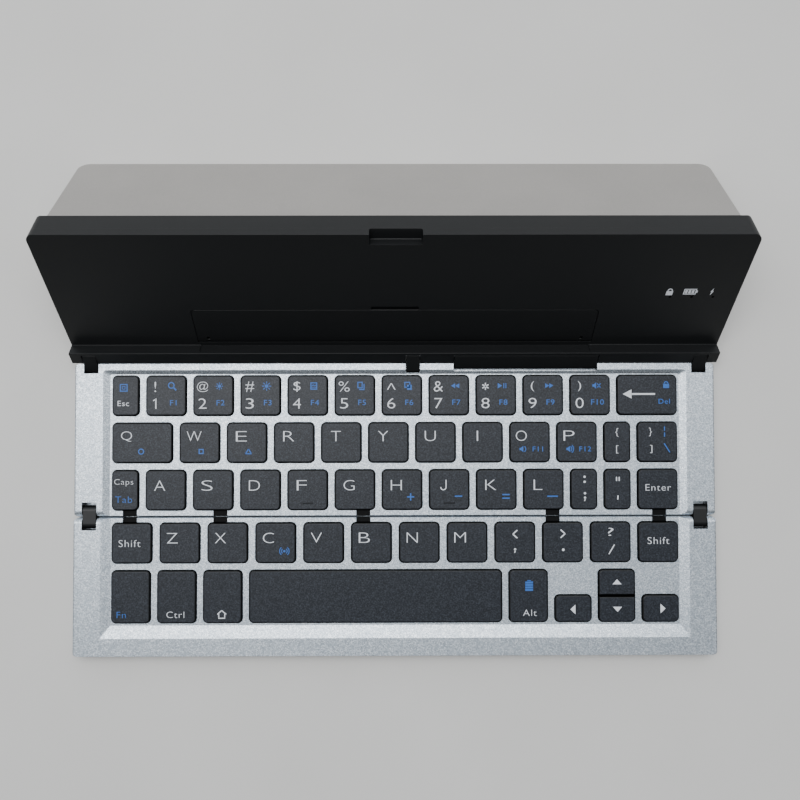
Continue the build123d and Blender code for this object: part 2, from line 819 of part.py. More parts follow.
with BuildPart() as lid_front_shell:
    with BuildSketch(lid_section) as section:
        with BuildLine():
            Polyline(
                (0, -lip_depth),
                (lip_height, -lip_depth),
                (lip_height, 0),
                (lid_length, 0),
                (lid_length, shell_split),
                (0, shell_split),
                close=True,
            )
        make_face()
        lip_foot = section.vertices().group_by(Axis.Y)[1].sort_by(Axis.X)[0]
        fillet(lip_foot, lid_edge)
        lip_corners = section.vertices().group_by(Axis.Y)[0]
        fillet(lip_corners, lid_edge)
        top_corner = section.vertices().group_by(Axis.X)[-1].sort_by(Axis.Y)[0]
        fillet(top_corner, lid_edge)
    extrude(amount=lid_width / 2, both=True)
    cut_lid_plan()
    add(scoop_space, mode=Mode.SUBTRACT)
    face_box(cavity_x, (cavity_u[0], front_cavity_top), (front_plate, shell_split))
    # pocket, finger slit and pin bores of the tablet rest
    with BuildSketch(lid_face) as flap_pocket:
        with Locations((0, sum(flap_u) / 2)):
            Rectangle(flap_width + 2 * flap_gap, flap_u[1] - flap_u[0] + 2 * flap_gap)
        fillet(flap_pocket.vertices().group_by(Axis.Y)[-1], flap_corner_radius + flap_gap)
    extrude(amount=-flap_thickness - flap_gap, mode=Mode.SUBTRACT)
    face_box((-slit_width / 2, slit_width / 2), (flap_u[1], slit_top), (0, slit_depth))
    lid_cylinders(
        [(0, flap_width + 2 * (flap_pin_reach + flap_gap))],
        flap_u[0] + flap_thickness / 2,
        flap_thickness / 2,
        flap_pin_radius + pin_play,
        Mode.SUBTRACT,
    )
    # shallow seat in the lip for the tablet's edge
    face_box(
        (-lip_recess_width / 2, lip_recess_width / 2),
        (lip_height - lip_recess_depth, lip_height + overrun),
        (lip_recess_front, 0),
    )
    # slots and bores of the hinge links
    for x in lid_link_x:
        face_box(
            (x - lid_notch_width / 2, x + lid_notch_width / 2),
            (-overrun, lid_slot[0]),
            (-lip_depth - overrun, lid_slot[1]),
        )
    face_box(
        bridge_notch_x,
        (-overrun, lid_slot[0]),
        (-lip_depth - overrun, lid_slot[1]),
    )
    lid_cylinders(
        lid_pin_places + bridge_pin_places,
        lid_upper_pin[0],
        lid_upper_pin[1],
        pin_radius,
        Mode.SUBTRACT,
    )
    # lens bores, charging port and screws
    with BuildSketch(lid_face) as bores:
        with Locations(*lens_places):
            Circle(lens_radius)
    extrude(amount=-front_plate, mode=Mode.SUBTRACT)
    face_box((cavity_x[1] - overrun, lid_width / 2 + overrun), port_u, (port_n[0], shell_split))
    cut_lid_screws(lid_screw_shank, (lid_screw_tip, shell_split))
lid_front_shell.part.label = "lid_front_shell"

with BuildPart() as lid_back_shell:
    with BuildSketch(lid_section) as section:
        with BuildLine():
            Polyline(
                (0, shell_split),
                (lid_length, shell_split),
                (lid_length, strip_back),
                (strip_start, strip_back),
                (strip_start, lid_back),
                (0, lid_back),
                close=True,
            )
        make_face()
        spine = section.vertices().group_by(Axis.X)[0].sort_by(Axis.Y)[-1]
        fillet(spine, spine_radius)
        top_corner = section.vertices().group_by(Axis.X)[-1].sort_by(Axis.Y)[-1]
        fillet(top_corner, lid_edge)
    extrude(amount=lid_width / 2, both=True)
    cut_lid_plan()
    face_box(cavity_x, cavity_u, (shell_split, cavity_back))
    lid_cylinders(
        [(0, lid_width)], stand_hinge[0], stand_hinge[1], groove_radius, Mode.SUBTRACT
    )
    # ribs that carry the kickstand's rod
    for x in rib_centres:
        face_box(
            (x - rib_width / 2, x + rib_width / 2),
            (stand_hinge[0] - rib_neck / 2, stand_hinge[0] + rib_neck / 2),
            (stand_hinge[1] - groove_radius - rib_gap, stand_hinge[1]),
            Mode.ADD,
        )
    lid_cylinders([(x, rib_width) for x in rib_centres], *stand_hinge, barrel_radius)
    lid_cylinders([(0, lid_width)], *stand_hinge, rod_radius, Mode.SUBTRACT)
    face_box((cavity_x[1] - overrun, lid_width / 2 + overrun), port_u, (shell_split, port_n[1]))
    cut_lid_screws(lid_screw_shank, (shell_split, lid_back))
    cut_lid_screws(lid_screw_head, (lid_back - lid_screw_head_height, lid_back))
    for x in lid_magnet_places:
        face_box(
            (x - magnet_size[0] / 2, x + magnet_size[0] / 2),
            lid_magnet_u,
            (shell_split, shell_split + magnet_size[2]),
        )
lid_back_shell.part.label = "lid_back_shell"

with BuildPart() as lid_upper_pins:
    lid_cylinders(lid_pin_places + bridge_pin_places, *lid_upper_pin, pin_radius)
lid_upper_pins.part.label = "lid_upper_pins"

with BuildPart() as battery:
    face_box(battery_x, battery_u, battery_n, Mode.ADD)
    fillet(battery.edges().filter_by(Axis.X), battery_edge)
battery.part.label = "battery"

with BuildPart() as controller_board:
    face_box(board_x, board_u, board_n, Mode.ADD)
    face_box(*lead_socket, Mode.ADD)
    face_box(*radio_chip, Mode.ADD)
controller_board.part.label = "controller_board"

with BuildPart() as indicator_lenses:
    with BuildSketch(lid_face) as lens_ends:
        with Locations(*lens_places):
            Circle(lens_radius)
    extrude(amount=-board_n[0])
indicator_lenses.part.label = "indicator_lenses"

with BuildPart() as charging_port:
    face_box((port_x - port_depth, port_x), port_u, port_n, Mode.ADD)
    face_box(
        (port_x - port_depth + port_end_wall, port_x + overrun),
        (port_u[0] + port_wall, port_u[1] - port_wall),
        (port_n[0] + port_wall, port_n[1] - port_wall),
    )
    # contact tongue
    face_box((port_x - port_depth, port_x - tongue_inset), tongue_u, tongue_n, Mode.ADD)
charging_port.part.label = "charging_port"

with BuildPart() as lid_screws:
    with BuildSketch(lid_face.offset(-lid_back)) as heads:
        with Locations(*lid_screw_places):
            Circle(lid_screw_head)
    extrude(amount=lid_screw_head_height)
    with BuildSketch(lid_face.offset(-lid_back + lid_screw_head_height)) as shanks:
        with Locations(*lid_screw_places):
            Circle(lid_screw_shank)
    extrude(amount=lid_back - lid_screw_head_height - lid_screw_tip)
lid_screws.part.label = "lid_screws"

with BuildPart() as lid_magnets:
    for x in lid_magnet_places:
        face_box(
            (x - magnet_size[0] / 2, x + magnet_size[0] / 2),
            lid_magnet_u,
            (shell_split, shell_split + magnet_size[2]),
            Mode.ADD,
        )
lid_magnets.part.label = "lid_magnets"

# ---------------------------------------------------------------------------------------------
# Kickstand and tablet rest
# ---------------------------------------------------------------------------------------------
with BuildPart() as kickstand_rod:
    lid_cylinders([(0, lid_width - 2 * rod_end)], *stand_hinge, rod_radius)
kickstand_rod.part.label = "kickstand_rod"

stand_outer_plane = Plane(
    origin=stand_axis, x_dir=(1, 0, 0), z_dir=stand_section.y_dir
)

with BuildPart() as kickstand_plate:
    # rounded outline as seen square to the plate, its free edge away from the hinge
    with BuildSketch(stand_outer_plane.offset(stand_inner)) as plan:
        with Locations((0, (stand_length + stand_edge_radius - stand_top_reach) / 2)):
            Rectangle(kickstand_width, stand_length + stand_edge_radius + stand_top_reach)
        far_corners = plan.vertices().group_by(Axis.Y)[-1]
        near_corners = plan.vertices().group_by(Axis.Y)[0]
        fillet(far_corners, stand_corner_radius)
        fillet(near_corners, stand_near_corner_radius)
    extrude(amount=stand_outer - stand_inner)
    rim = kickstand_plate.faces().sort_by(Axis(stand_axis, stand_section.y_dir))[-1]
    fillet(rim.edges(), stand_edge)
    inner = kickstand_plate.faces().sort_by(Axis(stand_axis, stand_section.y_dir))[0]
    fillet(inner.edges(), stand_edge)
    # hinge barrel along the near edge, open where the lid's ribs stand
    with BuildSketch(stand_section) as barrel:
        Circle(barrel_radius)
    extrude(amount=kickstand_width / 2 - barrel_end, both=True)
    for x in rib_centres:
        with BuildSketch(stand_section.offset(x)) as gap:
            with Locations((rib_clearance, 0)):
                Rectangle(
                    8 * barrel_radius,
                    8 * barrel_radius,
                    align=(Align.MAX, Align.CENTER),
                )
        extrude(amount=rib_width / 2 + rib_gap, both=True, mode=Mode.SUBTRACT)
    with BuildSketch(stand_section) as bore:
        Circle(rod_radius + pin_play)
    extrude(amount=kickstand_width, both=True, mode=Mode.SUBTRACT)
kickstand_plate.part.label = "kickstand_plate"

with BuildPart() as tablet_rest_flap:
    with BuildSketch(lid_section) as section:
        with Locations((sum(flap_u) / 2, flap_thickness / 2)):
            Rectangle(flap_u[1] - flap_u[0], flap_thickness)
        free_corner = section.vertices().group_by(Axis.X)[-1].sort_by(Axis.Y)[0]
        fillet(free_corner, flap_edge)
        hinge_edge = section.vertices().group_by(Axis.X)[0]
        fillet(hinge_edge, 0.99 * flap_thickness / 2)
    extrude(amount=flap_width / 2, both=True)
    with BuildSketch(lid_face) as plan:
        with Locations((0, sum(flap_u) / 2)):
            Rectangle(flap_width, flap_u[1] - flap_u[0])
        fillet(plan.vertices().group_by(Axis.Y)[-1], flap_corner_radius)
    extrude(plan.sketch, amount=2 * flap_thickness, both=True, mode=Mode.INTERSECT)
    # slots that let the ends spring inwards when the flap is snapped in
    for x in (-flap_snap_x, flap_snap_x):
        face_box(
            (x - flap_snap_slot[0] / 2, x + flap_snap_slot[0] / 2),
            (flap_u[0] - overrun, flap_u[0] + flap_snap_slot[1]),
            (-overrun, flap_thickness + overrun),
        )
    lid_cylinders(
        [(0, flap_width + 2 * flap_pin_reach)],
        flap_u[0] + flap_thickness / 2,
        flap_thickness / 2,
        flap_pin_radius,
    )
tablet_rest_flap.part.label = "tablet_rest_flap"


# ---------------------------------------------------------------------------------------------
# Key caps. Runs of equal keys share a node, and every other key has one of its own.
# ---------------------------------------------------------------------------------------------
def caps_by_node(keys):
    """Key openings sorted by the node that their caps belong to."""
    nodes = {}
    for key in keys:
        nodes.setdefault(key[0], []).append(key)
    return nodes


def outer_corners(node, corners):
    """The corners of a cap that are rounded, which are all four but where two share an opening."""
    if node == "key_arrow_up":
        return corners.group_by(Axis.Y)[-1]
    if node == "key_arrow_down":
        return corners.group_by(Axis.Y)[0]
    return corners


os.makedirs("parts", exist_ok=True)

for node, members in caps_by_node(rear_keys + front_keys).items():
    with BuildPart() as cap:
        with BuildSketch(Plane.XY.offset(cap_z)) as outline:
            for _, x, y, width, height in members:
                with Locations((x, y)):
                    Rectangle(width - 2 * cap_gap, height - 2 * cap_gap)
            fillet(outer_corners(node, outline.vertices()), opening_radius - cap_gap)
        extrude(amount=cap_height)
        with BuildSketch(Plane.XY.offset(cap_z)) as hollow:
            for _, x, y, width, height in members:
                inset = 2 * (cap_gap + cap_wall)
                with Locations((x, y)):
                    RectangleRounded(width - inset, height - inset, cap_hollow_radius)
                    Circle(plunger_radius, mode=Mode.SUBTRACT)
        extrude(amount=cap_height - cap_roof, mode=Mode.SUBTRACT)
        fillet(cap.faces().group_by(Axis.Z)[-1].edges(), cap_edge)
    cap.part.label = node
    export_step(cap.part, f"parts/{node}.step")

for piece in (
    rear_deck,
    rear_key_frame,
    rear_switch_sheet,
    rear_domes,
    rear_base,
    rear_feet,
    rear_fold_pins,
    lid_lower_pins,
    rear_screws,
    front_deck,
    front_key_frame,
    front_switch_sheet,
    front_domes,
    front_base,
    front_feet,
    front_fold_pins,
    front_screws,
    front_magnets,
    fold_links,
    lid_links,
    cable_bridge,
    bridge_ribbon,
    lid_front_shell,
    lid_back_shell,
    lid_upper_pins,
    battery,
    controller_board,
    indicator_lenses,
    charging_port,
    lid_screws,
    lid_magnets,
    kickstand_rod,
    kickstand_plate,
    tablet_rest_flap,
):
    export_step(piece.part, f"parts/{piece.part.label}.step")
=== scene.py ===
"""The looks of a folding keyboard case for a tablet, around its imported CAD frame.

Everything is in metres, in the frame's own coordinates. Sizes on the keys and the lid are given
in millimetres and turned into metres by MM.
"""
import json
from math import cos, pi, radians, sin

import bmesh
import bpy
from mathutils import Matrix, Vector

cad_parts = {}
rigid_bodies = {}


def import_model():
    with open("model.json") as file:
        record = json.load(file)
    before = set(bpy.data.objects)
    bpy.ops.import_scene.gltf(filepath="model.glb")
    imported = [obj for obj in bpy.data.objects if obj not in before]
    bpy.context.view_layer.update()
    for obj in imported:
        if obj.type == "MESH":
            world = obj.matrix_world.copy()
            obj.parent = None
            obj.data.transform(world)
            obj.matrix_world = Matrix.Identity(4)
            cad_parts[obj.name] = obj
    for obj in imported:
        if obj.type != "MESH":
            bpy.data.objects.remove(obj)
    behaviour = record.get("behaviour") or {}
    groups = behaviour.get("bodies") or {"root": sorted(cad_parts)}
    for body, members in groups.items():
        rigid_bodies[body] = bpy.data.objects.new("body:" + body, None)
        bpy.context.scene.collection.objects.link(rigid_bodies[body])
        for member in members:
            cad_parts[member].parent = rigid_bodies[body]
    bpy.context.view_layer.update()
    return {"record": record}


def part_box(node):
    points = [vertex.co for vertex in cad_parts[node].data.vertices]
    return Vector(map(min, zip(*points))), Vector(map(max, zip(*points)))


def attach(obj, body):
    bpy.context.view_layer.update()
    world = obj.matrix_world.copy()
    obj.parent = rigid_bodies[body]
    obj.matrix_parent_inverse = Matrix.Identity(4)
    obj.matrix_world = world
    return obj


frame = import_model()

MM = 0.001

# The case's own planes, read from the frame
rim_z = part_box("rear_deck")[1][2]
rear_edge_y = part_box("rear_deck")[1][1]
key_top_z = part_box("key_space")[1][2]

# The lid leans back by this angle above the table
LID_LEAN = radians(50.0)


# ---------------------------------------------------------------------------------------------
# Camera, lights and floor
# ---------------------------------------------------------------------------------------------
CAMERA_ABOVE_RIM = 264.5 * MM
CAMERA_BEHIND_EDGE = -18.75 * MM
CAMERA_X = 0.32 * MM
CAMERA_TILT = 0.024
CAMERA_YAW = -0.005
CAMERA_ROLL = -0.002
LENS_MM = 35.1
SENSOR_MM = 36.0
NEAREST_SEEN = 10.0 * MM

OVERHEAD_PLACE = (-0.12, 0.30, 1.15)
OVERHEAD_SIZE = (1.3, 0.62)
OVERHEAD_POWER = 11.0

# The surround grows brighter up and towards the rear. Directions that agree with this one by
# less than FIRST_LIGHT are the dimmest.
BRIGHT_SIDE = (-0.12, 0.66, 0.74)
FIRST_LIGHT = 0.20
DIMMEST, BRIGHTEST = 0.14, 1.36
SURROUND_COLOUR = (0.90, 0.95, 1.0, 1.0)

FLOOR_HALF = 1.5
FLOOR_CELLS = 8


def add_camera():
    """Nearly straight down, over the upper key rows."""
    data = bpy.data.cameras.new("camera")
    data.lens = LENS_MM
    data.sensor_width = SENSOR_MM
    data.clip_start = NEAREST_SEEN
    camera = bpy.data.objects.new("camera", data)
    camera.location = (CAMERA_X, rear_edge_y + CAMERA_BEHIND_EDGE, rim_z + CAMERA_ABOVE_RIM)
    camera.rotation_euler = (CAMERA_TILT, CAMERA_YAW, CAMERA_ROLL)
    bpy.context.collection.objects.link(camera)
    bpy.context.scene.camera = camera


def add_overhead_light():
    """A soft rectangular light that faces the middle of the case."""
    data = bpy.data.lights.new("overhead", "AREA")
    data.shape = "RECTANGLE"
    data.size, data.size_y = OVERHEAD_SIZE
    data.energy = OVERHEAD_POWER
    light = bpy.data.objects.new("overhead", data)
    light.location = OVERHEAD_PLACE
    light.rotation_euler = (-light.location).to_track_quat("-Z", "Y").to_euler()
    bpy.context.collection.objects.link(light)


def add_world():
    """A pale surround that is brightest above and behind the case and dim before it."""
    world = bpy.data.worlds.new("studio")
    world.use_nodes = True
    tree = world.node_tree
    background = tree.nodes["Background"]
    background.inputs["Color"].default_value = SURROUND_COLOUR
    way = tree.nodes.new("ShaderNodeTexCoord").outputs["Generated"]
    share = tree.nodes.new("ShaderNodeVectorMath")
    share.operation = "DOT_PRODUCT"
    share.inputs[1].default_value = BRIGHT_SIDE
    tree.links.new(way, share.inputs[0])
    strength = tree.nodes.new("ShaderNodeMapRange")
    strength.inputs["From Min"].default_value = FIRST_LIGHT
    strength.inputs["To Min"].default_value = DIMMEST
    strength.inputs["To Max"].default_value = BRIGHTEST
    tree.links.new(share.outputs["Value"], strength.inputs["Value"])
    tree.links.new(strength.outputs["Result"], background.inputs["Strength"])
    bpy.context.scene.world = world


# ---------------------------------------------------------------------------------------------
# Materials
# ---------------------------------------------------------------------------------------------
EDGE_SAMPLES = 4


class Shader:
    """A Principled material with a few shorthands for its nodes."""

    def __init__(self, name, roughness, metallic=0.0, specular=0.5):
        self.material = bpy.data.materials.new(name)
        self.material.use_nodes = True
        self.tree = self.material.node_tree
        self.principled = self.tree.nodes["Principled BSDF"]
        self.principled.inputs["Roughness"].default_value = roughness
        self.principled.inputs["Metallic"].default_value = metallic
        self.principled.inputs["Specular IOR Level"].default_value = specular
        spot = self.tree.nodes.new("ShaderNodeTexCoord")
        self.place = spot.outputs["Object"]
        self.facing = spot.outputs["Normal"]
        self.bump_out = None

    def noise(self, grain, detail=2.0, roughness=0.5, stretch=(1.0, 1.0, 1.0)):
        """Noise whose features are about grain metres across."""
        mapping = self.tree.nodes.new("ShaderNodeMapping")
        mapping.inputs["Scale"].default_value = stretch
        self.tree.links.new(self.place, mapping.inputs["Vector"])
        node = self.tree.nodes.new("ShaderNodeTexNoise")
        node.inputs["Scale"].default_value = 1.0 / grain
        node.inputs["Detail"].default_value = detail
        node.inputs["Roughness"].default_value = roughness
        self.tree.links.new(mapping.outputs["Vector"], node.inputs["Vector"])
        return node.outputs["Fac"]

    def flakes(self, size):
        """Random cells, each one a flake with a value of its own."""
        node = self.tree.nodes.new("ShaderNodeTexVoronoi")
        node.inputs["Scale"].default_value = 1.0 / size
        self.tree.links.new(self.place, node.inputs["Vector"])
        separate = self.tree.nodes.new("ShaderNodeSeparateColor")
        self.tree.links.new(node.outputs["Color"], separate.inputs["Color"])
        return separate.outputs["Red"]

    def ramp(self, value, stops):
        """A colour ramp over a value. Stops are (place, colour)."""
        node = self.tree.nodes.new("ShaderNodeValToRGB")
        node.color_ramp.elements[0].position = stops[0][0]
        node.color_ramp.elements[0].color = (*stops[0][1], 1.0)
        node.color_ramp.elements[1].position = stops[-1][0]
        node.color_ramp.elements[1].color = (*stops[-1][1], 1.0)
        for place, colour in stops[1:-1]:
            element = node.color_ramp.elements.new(place)
            element.color = (*colour, 1.0)
        self.tree.links.new(value, node.inputs["Fac"])
        return node.outputs["Color"]

    def mix(self, first, second, share=0.5, blend="MIX"):
        """Two colours mixed by a fixed share."""
        node = self.tree.nodes.new("ShaderNodeMix")
        node.data_type = "RGBA"
        node.blend_type = blend
        node.inputs["Factor"].default_value = share
        self.tree.links.new(first, node.inputs[6])
        self.tree.links.new(second, node.inputs[7])
        return node.outputs[2]

    def spread(self, value, low, high):
        """A value of 0 to 1 mapped to low to high."""
        node = self.tree.nodes.new("ShaderNodeMapRange")
        node.inputs["To Min"].default_value = low
        node.inputs["To Max"].default_value = high
        self.tree.links.new(value, node.inputs["Value"])
        return node.outputs["Result"]

    def axis(self, vector, name):
        """One component of a vector."""
        node = self.tree.nodes.new("ShaderNodeSeparateXYZ")
        self.tree.links.new(vector, node.inputs["Vector"])
        return node.outputs[name]

    def along(self, way):
        """How far a point lies along a direction."""
        node = self.tree.nodes.new("ShaderNodeVectorMath")
        node.operation = "DOT_PRODUCT"
        self.tree.links.new(self.place, node.inputs[0])
        node.inputs[1].default_value = way
        return node.outputs["Value"]

    def combine(self, first, second, how="MULTIPLY"):
        """Arithmetic on two values, or on a value and a number."""
        node = self.tree.nodes.new("ShaderNodeMath")
        node.operation = how
        self.tree.links.new(first, node.inputs[0])
        if isinstance(second, float):
            node.inputs[1].default_value = second
        else:
            self.tree.links.new(second, node.inputs[1])
        return node.outputs["Value"]

    def magnitude(self, value):
        """A value without its sign."""
        node = self.tree.nodes.new("ShaderNodeMath")
        node.operation = "ABSOLUTE"
        self.tree.links.new(value, node.inputs[0])
        return node.outputs["Value"]

    def blend_by(self, share, first, second):
        """Two colours mixed by a value of 0 to 1."""
        node = self.tree.nodes.new("ShaderNodeMix")
        node.data_type = "RGBA"
        self.tree.links.new(share, node.inputs["Factor"])
        self.tree.links.new(first, node.inputs[6])
        self.tree.links.new(second, node.inputs[7])
        return node.outputs[2]

    def soften_edges(self, radius):
        """Rounds the shading of sharp edges."""
        node = self.tree.nodes.new("ShaderNodeBevel")
        node.samples = EDGE_SAMPLES
        node.inputs["Radius"].default_value = radius
        self.bump_out = node.outputs["Normal"]
        self.tree.links.new(self.bump_out, self.principled.inputs["Normal"])

    def colour(self, output):
        """Sets the base colour from a node."""
        self.tree.links.new(output, self.principled.inputs["Base Color"])

    def roughness(self, output):
        """Sets the roughness from a node."""
        self.tree.links.new(output, self.principled.inputs["Roughness"])

    def link(self, output, name):
        """Sets any other input from a node, by the input's name."""
        self.tree.links.new(output, self.principled.inputs[name])

    def bump(self, value, depth):
        """Raises the surface by value times depth metres. Calls add up."""
        node = self.tree.nodes.new("ShaderNodeBump")
        node.inputs["Strength"].default_value = 1.0
        node.inputs["Distance"].default_value = depth
        self.tree.links.new(value, node.inputs["Height"])
        if self.bump_out:
            self.tree.links.new(self.bump_out, node.inputs["Normal"])
        self.bump_out = node.outputs["Normal"]
        self.tree.links.new(self.bump_out, self.principled.inputs["Normal"])


def grey(level, warmth=0.0):
    """A grey with a slight lean to red, or to blue when warmth is negative."""
    return (level * (1 + warmth), level, level * (1 - warmth))


# How far up a face may look and still be upright, and where the decks' upright faces are
# the walls of key openings or of hinge notches, which get painted shade
OPENINGS_HALF_WIDTH = 97.0 * MM
OPENINGS_FRONT_Y = -84.0 * MM
NOTCHES_FRONT_Y = -47.0 * MM
WALLS_REAR_Y = 13.9 * MM
HINGE_NOTCH_INNER = 100.5 * MM
HINGE_NOTCH_OUTER = 106.2 * MM
FOLD_Y = -37.564 * MM
FOLD_HALF = 0.95 * MM
UPRIGHT = 0.4


def between(shader, value, low, high):
    """1 where a value lies between two numbers."""
    above = shader.combine(value, low, "GREATER_THAN")
    below = shader.combine(value, high, "LESS_THAN")
    return shader.combine(above, below)


def opening_walls(shader):
    """1 on the upright walls of the key openings and hinge notches, where shade is painted, 0 on the other
    faces.
    """
    tilt = shader.magnitude(shader.axis(shader.facing, "Z"))
    upright = shader.combine(tilt, UPRIGHT, "LESS_THAN")
    across = shader.magnitude(shader.axis(shader.place, "X"))
    along = shader.axis(shader.place, "Y")
    from_fold = shader.magnitude(shader.combine(along, -FOLD_Y, "ADD"))
    keys = shader.combine(
        shader.combine(
            shader.combine(across, OPENINGS_HALF_WIDTH, "LESS_THAN"),
            shader.combine(from_fold, FOLD_HALF, "GREATER_THAN"),
        ),
        between(shader, along, OPENINGS_FRONT_Y, WALLS_REAR_Y),
    )
    notch = shader.combine(
        between(shader, across, HINGE_NOTCH_INNER, HINGE_NOTCH_OUTER),
        between(shader, along, NOTCHES_FRONT_Y, WALLS_REAR_Y),
    )
    return shader.combine(upright, shader.combine(keys, notch, "MAXIMUM"))


def silver_paint():
    """Metallic paint: flakes that catch the light one by one over a faint mottle.

    The upright walls of the key openings and hinge notches get painted shade: a near-black, non-metallic
    colour that stands for the shade deep between the caps.
    """
    shader = Shader("silver_paint", 0.34, metallic=0.8, specular=0.5)
    shader.soften_edges(0.12 * MM)
    flake = shader.flakes(0.30 * MM)
    base = shader.ramp(flake, [
        (0.0, grey(0.47, -0.11)), (0.55, grey(0.64, -0.10)), (1.0, grey(0.95, -0.05)),
    ])
    mottle = shader.noise(0.55 * MM, detail=4.0, roughness=0.6)
    shade = shader.ramp(mottle, [(0.32, grey(0.88)), (0.68, grey(1.0))])
    painted = shader.mix(base, shade, 1.0, "MULTIPLY")
    # painted shade: the upright walls of the openings and notches are coloured near black
    painted_wall_shade = shader.ramp(mottle, [(0.3, grey(0.006)), (0.7, grey(0.012))])
    walls = opening_walls(shader)
    shader.colour(shader.blend_by(walls, painted, painted_wall_shade))
    shader.link(shader.spread(walls, 0.8, 0.0), "Metallic")
    shader.roughness(shader.spread(shader.flakes(0.26 * MM), 0.26, 0.46))
    shader.bump(flake, 0.010 * MM)
    shader.bump(shader.noise(0.7 * MM, detail=3.0), 0.006 * MM)
    return shader.material


# A cap's top looks up by at least this much, and its rounded edges, where shade is painted, by less
FLAT_TOP = 0.96


def key_plastic():
    """Spark-eroded blue-grey plastic, a little polished by fingers, with painted shade on its rounded
    edges.
    """
    shader = Shader("key_plastic", 0.5, specular=0.32)
    shader.soften_edges(0.10 * MM)
    grain = shader.noise(0.45 * MM, detail=5.0, roughness=0.72)
    top = shader.ramp(grain, [
        (0.36, (0.0040, 0.0054, 0.0082)), (0.50, (0.0130, 0.0160, 0.0220)),
        (0.64, (0.0400, 0.0460, 0.0590)),
    ])
    # painted shade: the caps' rounded edges and sides are coloured near black, as the shade in the gaps
    # between caps
    side = shader.ramp(grain, [(0.3, grey(0.0016)), (0.7, grey(0.0032))])
    rounded = shader.combine(shader.axis(shader.facing, "Z"), FLAT_TOP, "LESS_THAN")
    shader.colour(shader.blend_by(rounded, top, side))
    shader.roughness(shader.spread(shader.noise(4.0 * MM, detail=2.0), 0.33, 0.42))
    shader.bump(grain, 0.030 * MM)
    shader.bump(shader.noise(0.12 * MM, detail=2.0), 0.006 * MM)
    return shader.material


# The way the lid's face looks at rest, and the level along it that parts the lip from the face
LID_FACE_NORMAL = (0.0, -sin(LID_LEAN), cos(LID_LEAN))
LIP_LEVEL = -6.5 * MM

# how far the black plastics lean to blue
COOL = -0.07


def black_plastic(name, roughness, level, grain_depth, painted_reflection_level=0.0, specular=0.3):
    """Black satin plastic with a fine moulded grain.

    The lid's face and back get a painted reflection: they are coloured lighter than the lip that holds the
    tablet, for the brighter surround they reflect.
    """
    shader = Shader(name, roughness, specular=specular)
    shader.soften_edges(0.10 * MM)
    grain = shader.noise(0.14 * MM, detail=3.0, roughness=0.65)
    fresh = shader.ramp(grain, [(0.3, grey(level * 0.7, COOL)), (0.7, grey(level * 1.35, COOL))])
    if painted_reflection_level:
        # painted reflection: the faces behind the lip are coloured lighter, standing for the reflected
        # brighter surround
        painted_reflection = shader.ramp(grain, [(0.3, grey(painted_reflection_level * 0.85, COOL)), (0.7, grey(painted_reflection_level * 1.15, COOL))])
        behind_lip = shader.combine(shader.along(LID_FACE_NORMAL), LIP_LEVEL, "LESS_THAN")
        shader.colour(shader.blend_by(behind_lip, fresh, painted_reflection))
    else:
        shader.colour(fresh)
    wear = shader.noise(9.0 * MM, detail=3.0)
    shader.roughness(shader.spread(wear, roughness - 0.04, roughness + 0.06))
    shader.bump(grain, grain_depth * MM)
    return shader.material


def anodised(name, level, warmth):
    """Bead-blasted, anodised sheet."""
    shader = Shader(name, 0.42, metallic=0.85, specular=0.5)
    shader.soften_edges(0.12 * MM)
    blast = shader.noise(0.22 * MM, detail=4.0, roughness=0.7)
    fine = shader.ramp(blast, [(0.3, grey(level * 0.86, warmth)), (0.7, grey(level * 1.12, warmth))])
    cloud = shader.ramp(shader.noise(25.0 * MM, detail=3.0), [(0.3, grey(0.94)), (0.7, grey(1.0))])
    shader.colour(shader.mix(fine, cloud, 1.0, "MULTIPLY"))
    shader.roughness(shader.spread(shader.noise(6.0 * MM, detail=3.0), 0.38, 0.48))
    shader.bump(blast, 0.012 * MM)
    return shader.material


def drawn_steel():
    """Bright drawn steel with fine lines along X."""
    shader = Shader("drawn_steel", 0.25, metallic=1.0)
    lines = shader.noise(0.06 * MM, detail=2.0, stretch=(0.05, 1.0, 1.0))
    shader.colour(shader.ramp(lines, [(0.2, grey(0.45)), (0.8, grey(0.68))]))
    shader.roughness(shader.spread(lines, 0.18, 0.36))
    shader.bump(lines, 0.004 * MM)
    return shader.material


def rubber():
    """Dull black silicone rubber."""
    shader = Shader("rubber", 0.8, specular=0.3)
    dust = shader.noise(0.3 * MM, detail=4.0)
    shader.colour(shader.ramp(dust, [(0.3, grey(0.018)), (0.75, grey(0.04))]))
    shader.roughness(shader.spread(dust, 0.7, 0.88))
    shader.bump(dust, 0.02 * MM)
    return shader.material


def circuit():
    """Green solder mask over faint copper tracks."""
    shader = Shader("circuit", 0.3, specular=0.5)
    weave = shader.noise(0.4 * MM, detail=2.0, stretch=(1.0, 0.2, 1.0))
    shader.colour(shader.ramp(weave, [(0.4, (0.008, 0.06, 0.025)), (0.6, (0.02, 0.11, 0.045))]))
    shader.bump(weave, 0.02 * MM)
    return shader.material


def foil():
    """The crinkled foil pouch of a flat cell."""
    shader = Shader("foil", 0.35, metallic=0.9)
    crinkle = shader.noise(1.5 * MM, detail=4.0)
    shader.colour(shader.ramp(crinkle, [(0.3, grey(0.42)), (0.7, grey(0.60))]))
    shader.bump(crinkle, 0.05 * MM)
    return shader.material


def ink(name, colour, dark):
    """Pad-printed ink, slightly uneven."""
    shader = Shader(name, 0.45, specular=0.4)
    patch = shader.noise(0.25 * MM, detail=3.0)
    shader.colour(shader.ramp(patch, [(0.25, dark), (0.6, colour)]))
    shader.roughness(shader.spread(patch, 0.4, 0.55))
    shader.bump(patch, 0.004 * MM)
    return shader.material


def lens():
    """Small smoked light pipes, unlit."""
    shader = Shader("lens", 0.6, specular=0.05)
    haze = shader.noise(0.2 * MM)
    shader.colour(shader.ramp(haze, [(0.3, grey(0.0005)), (0.7, grey(0.0012))]))
    return shader.material


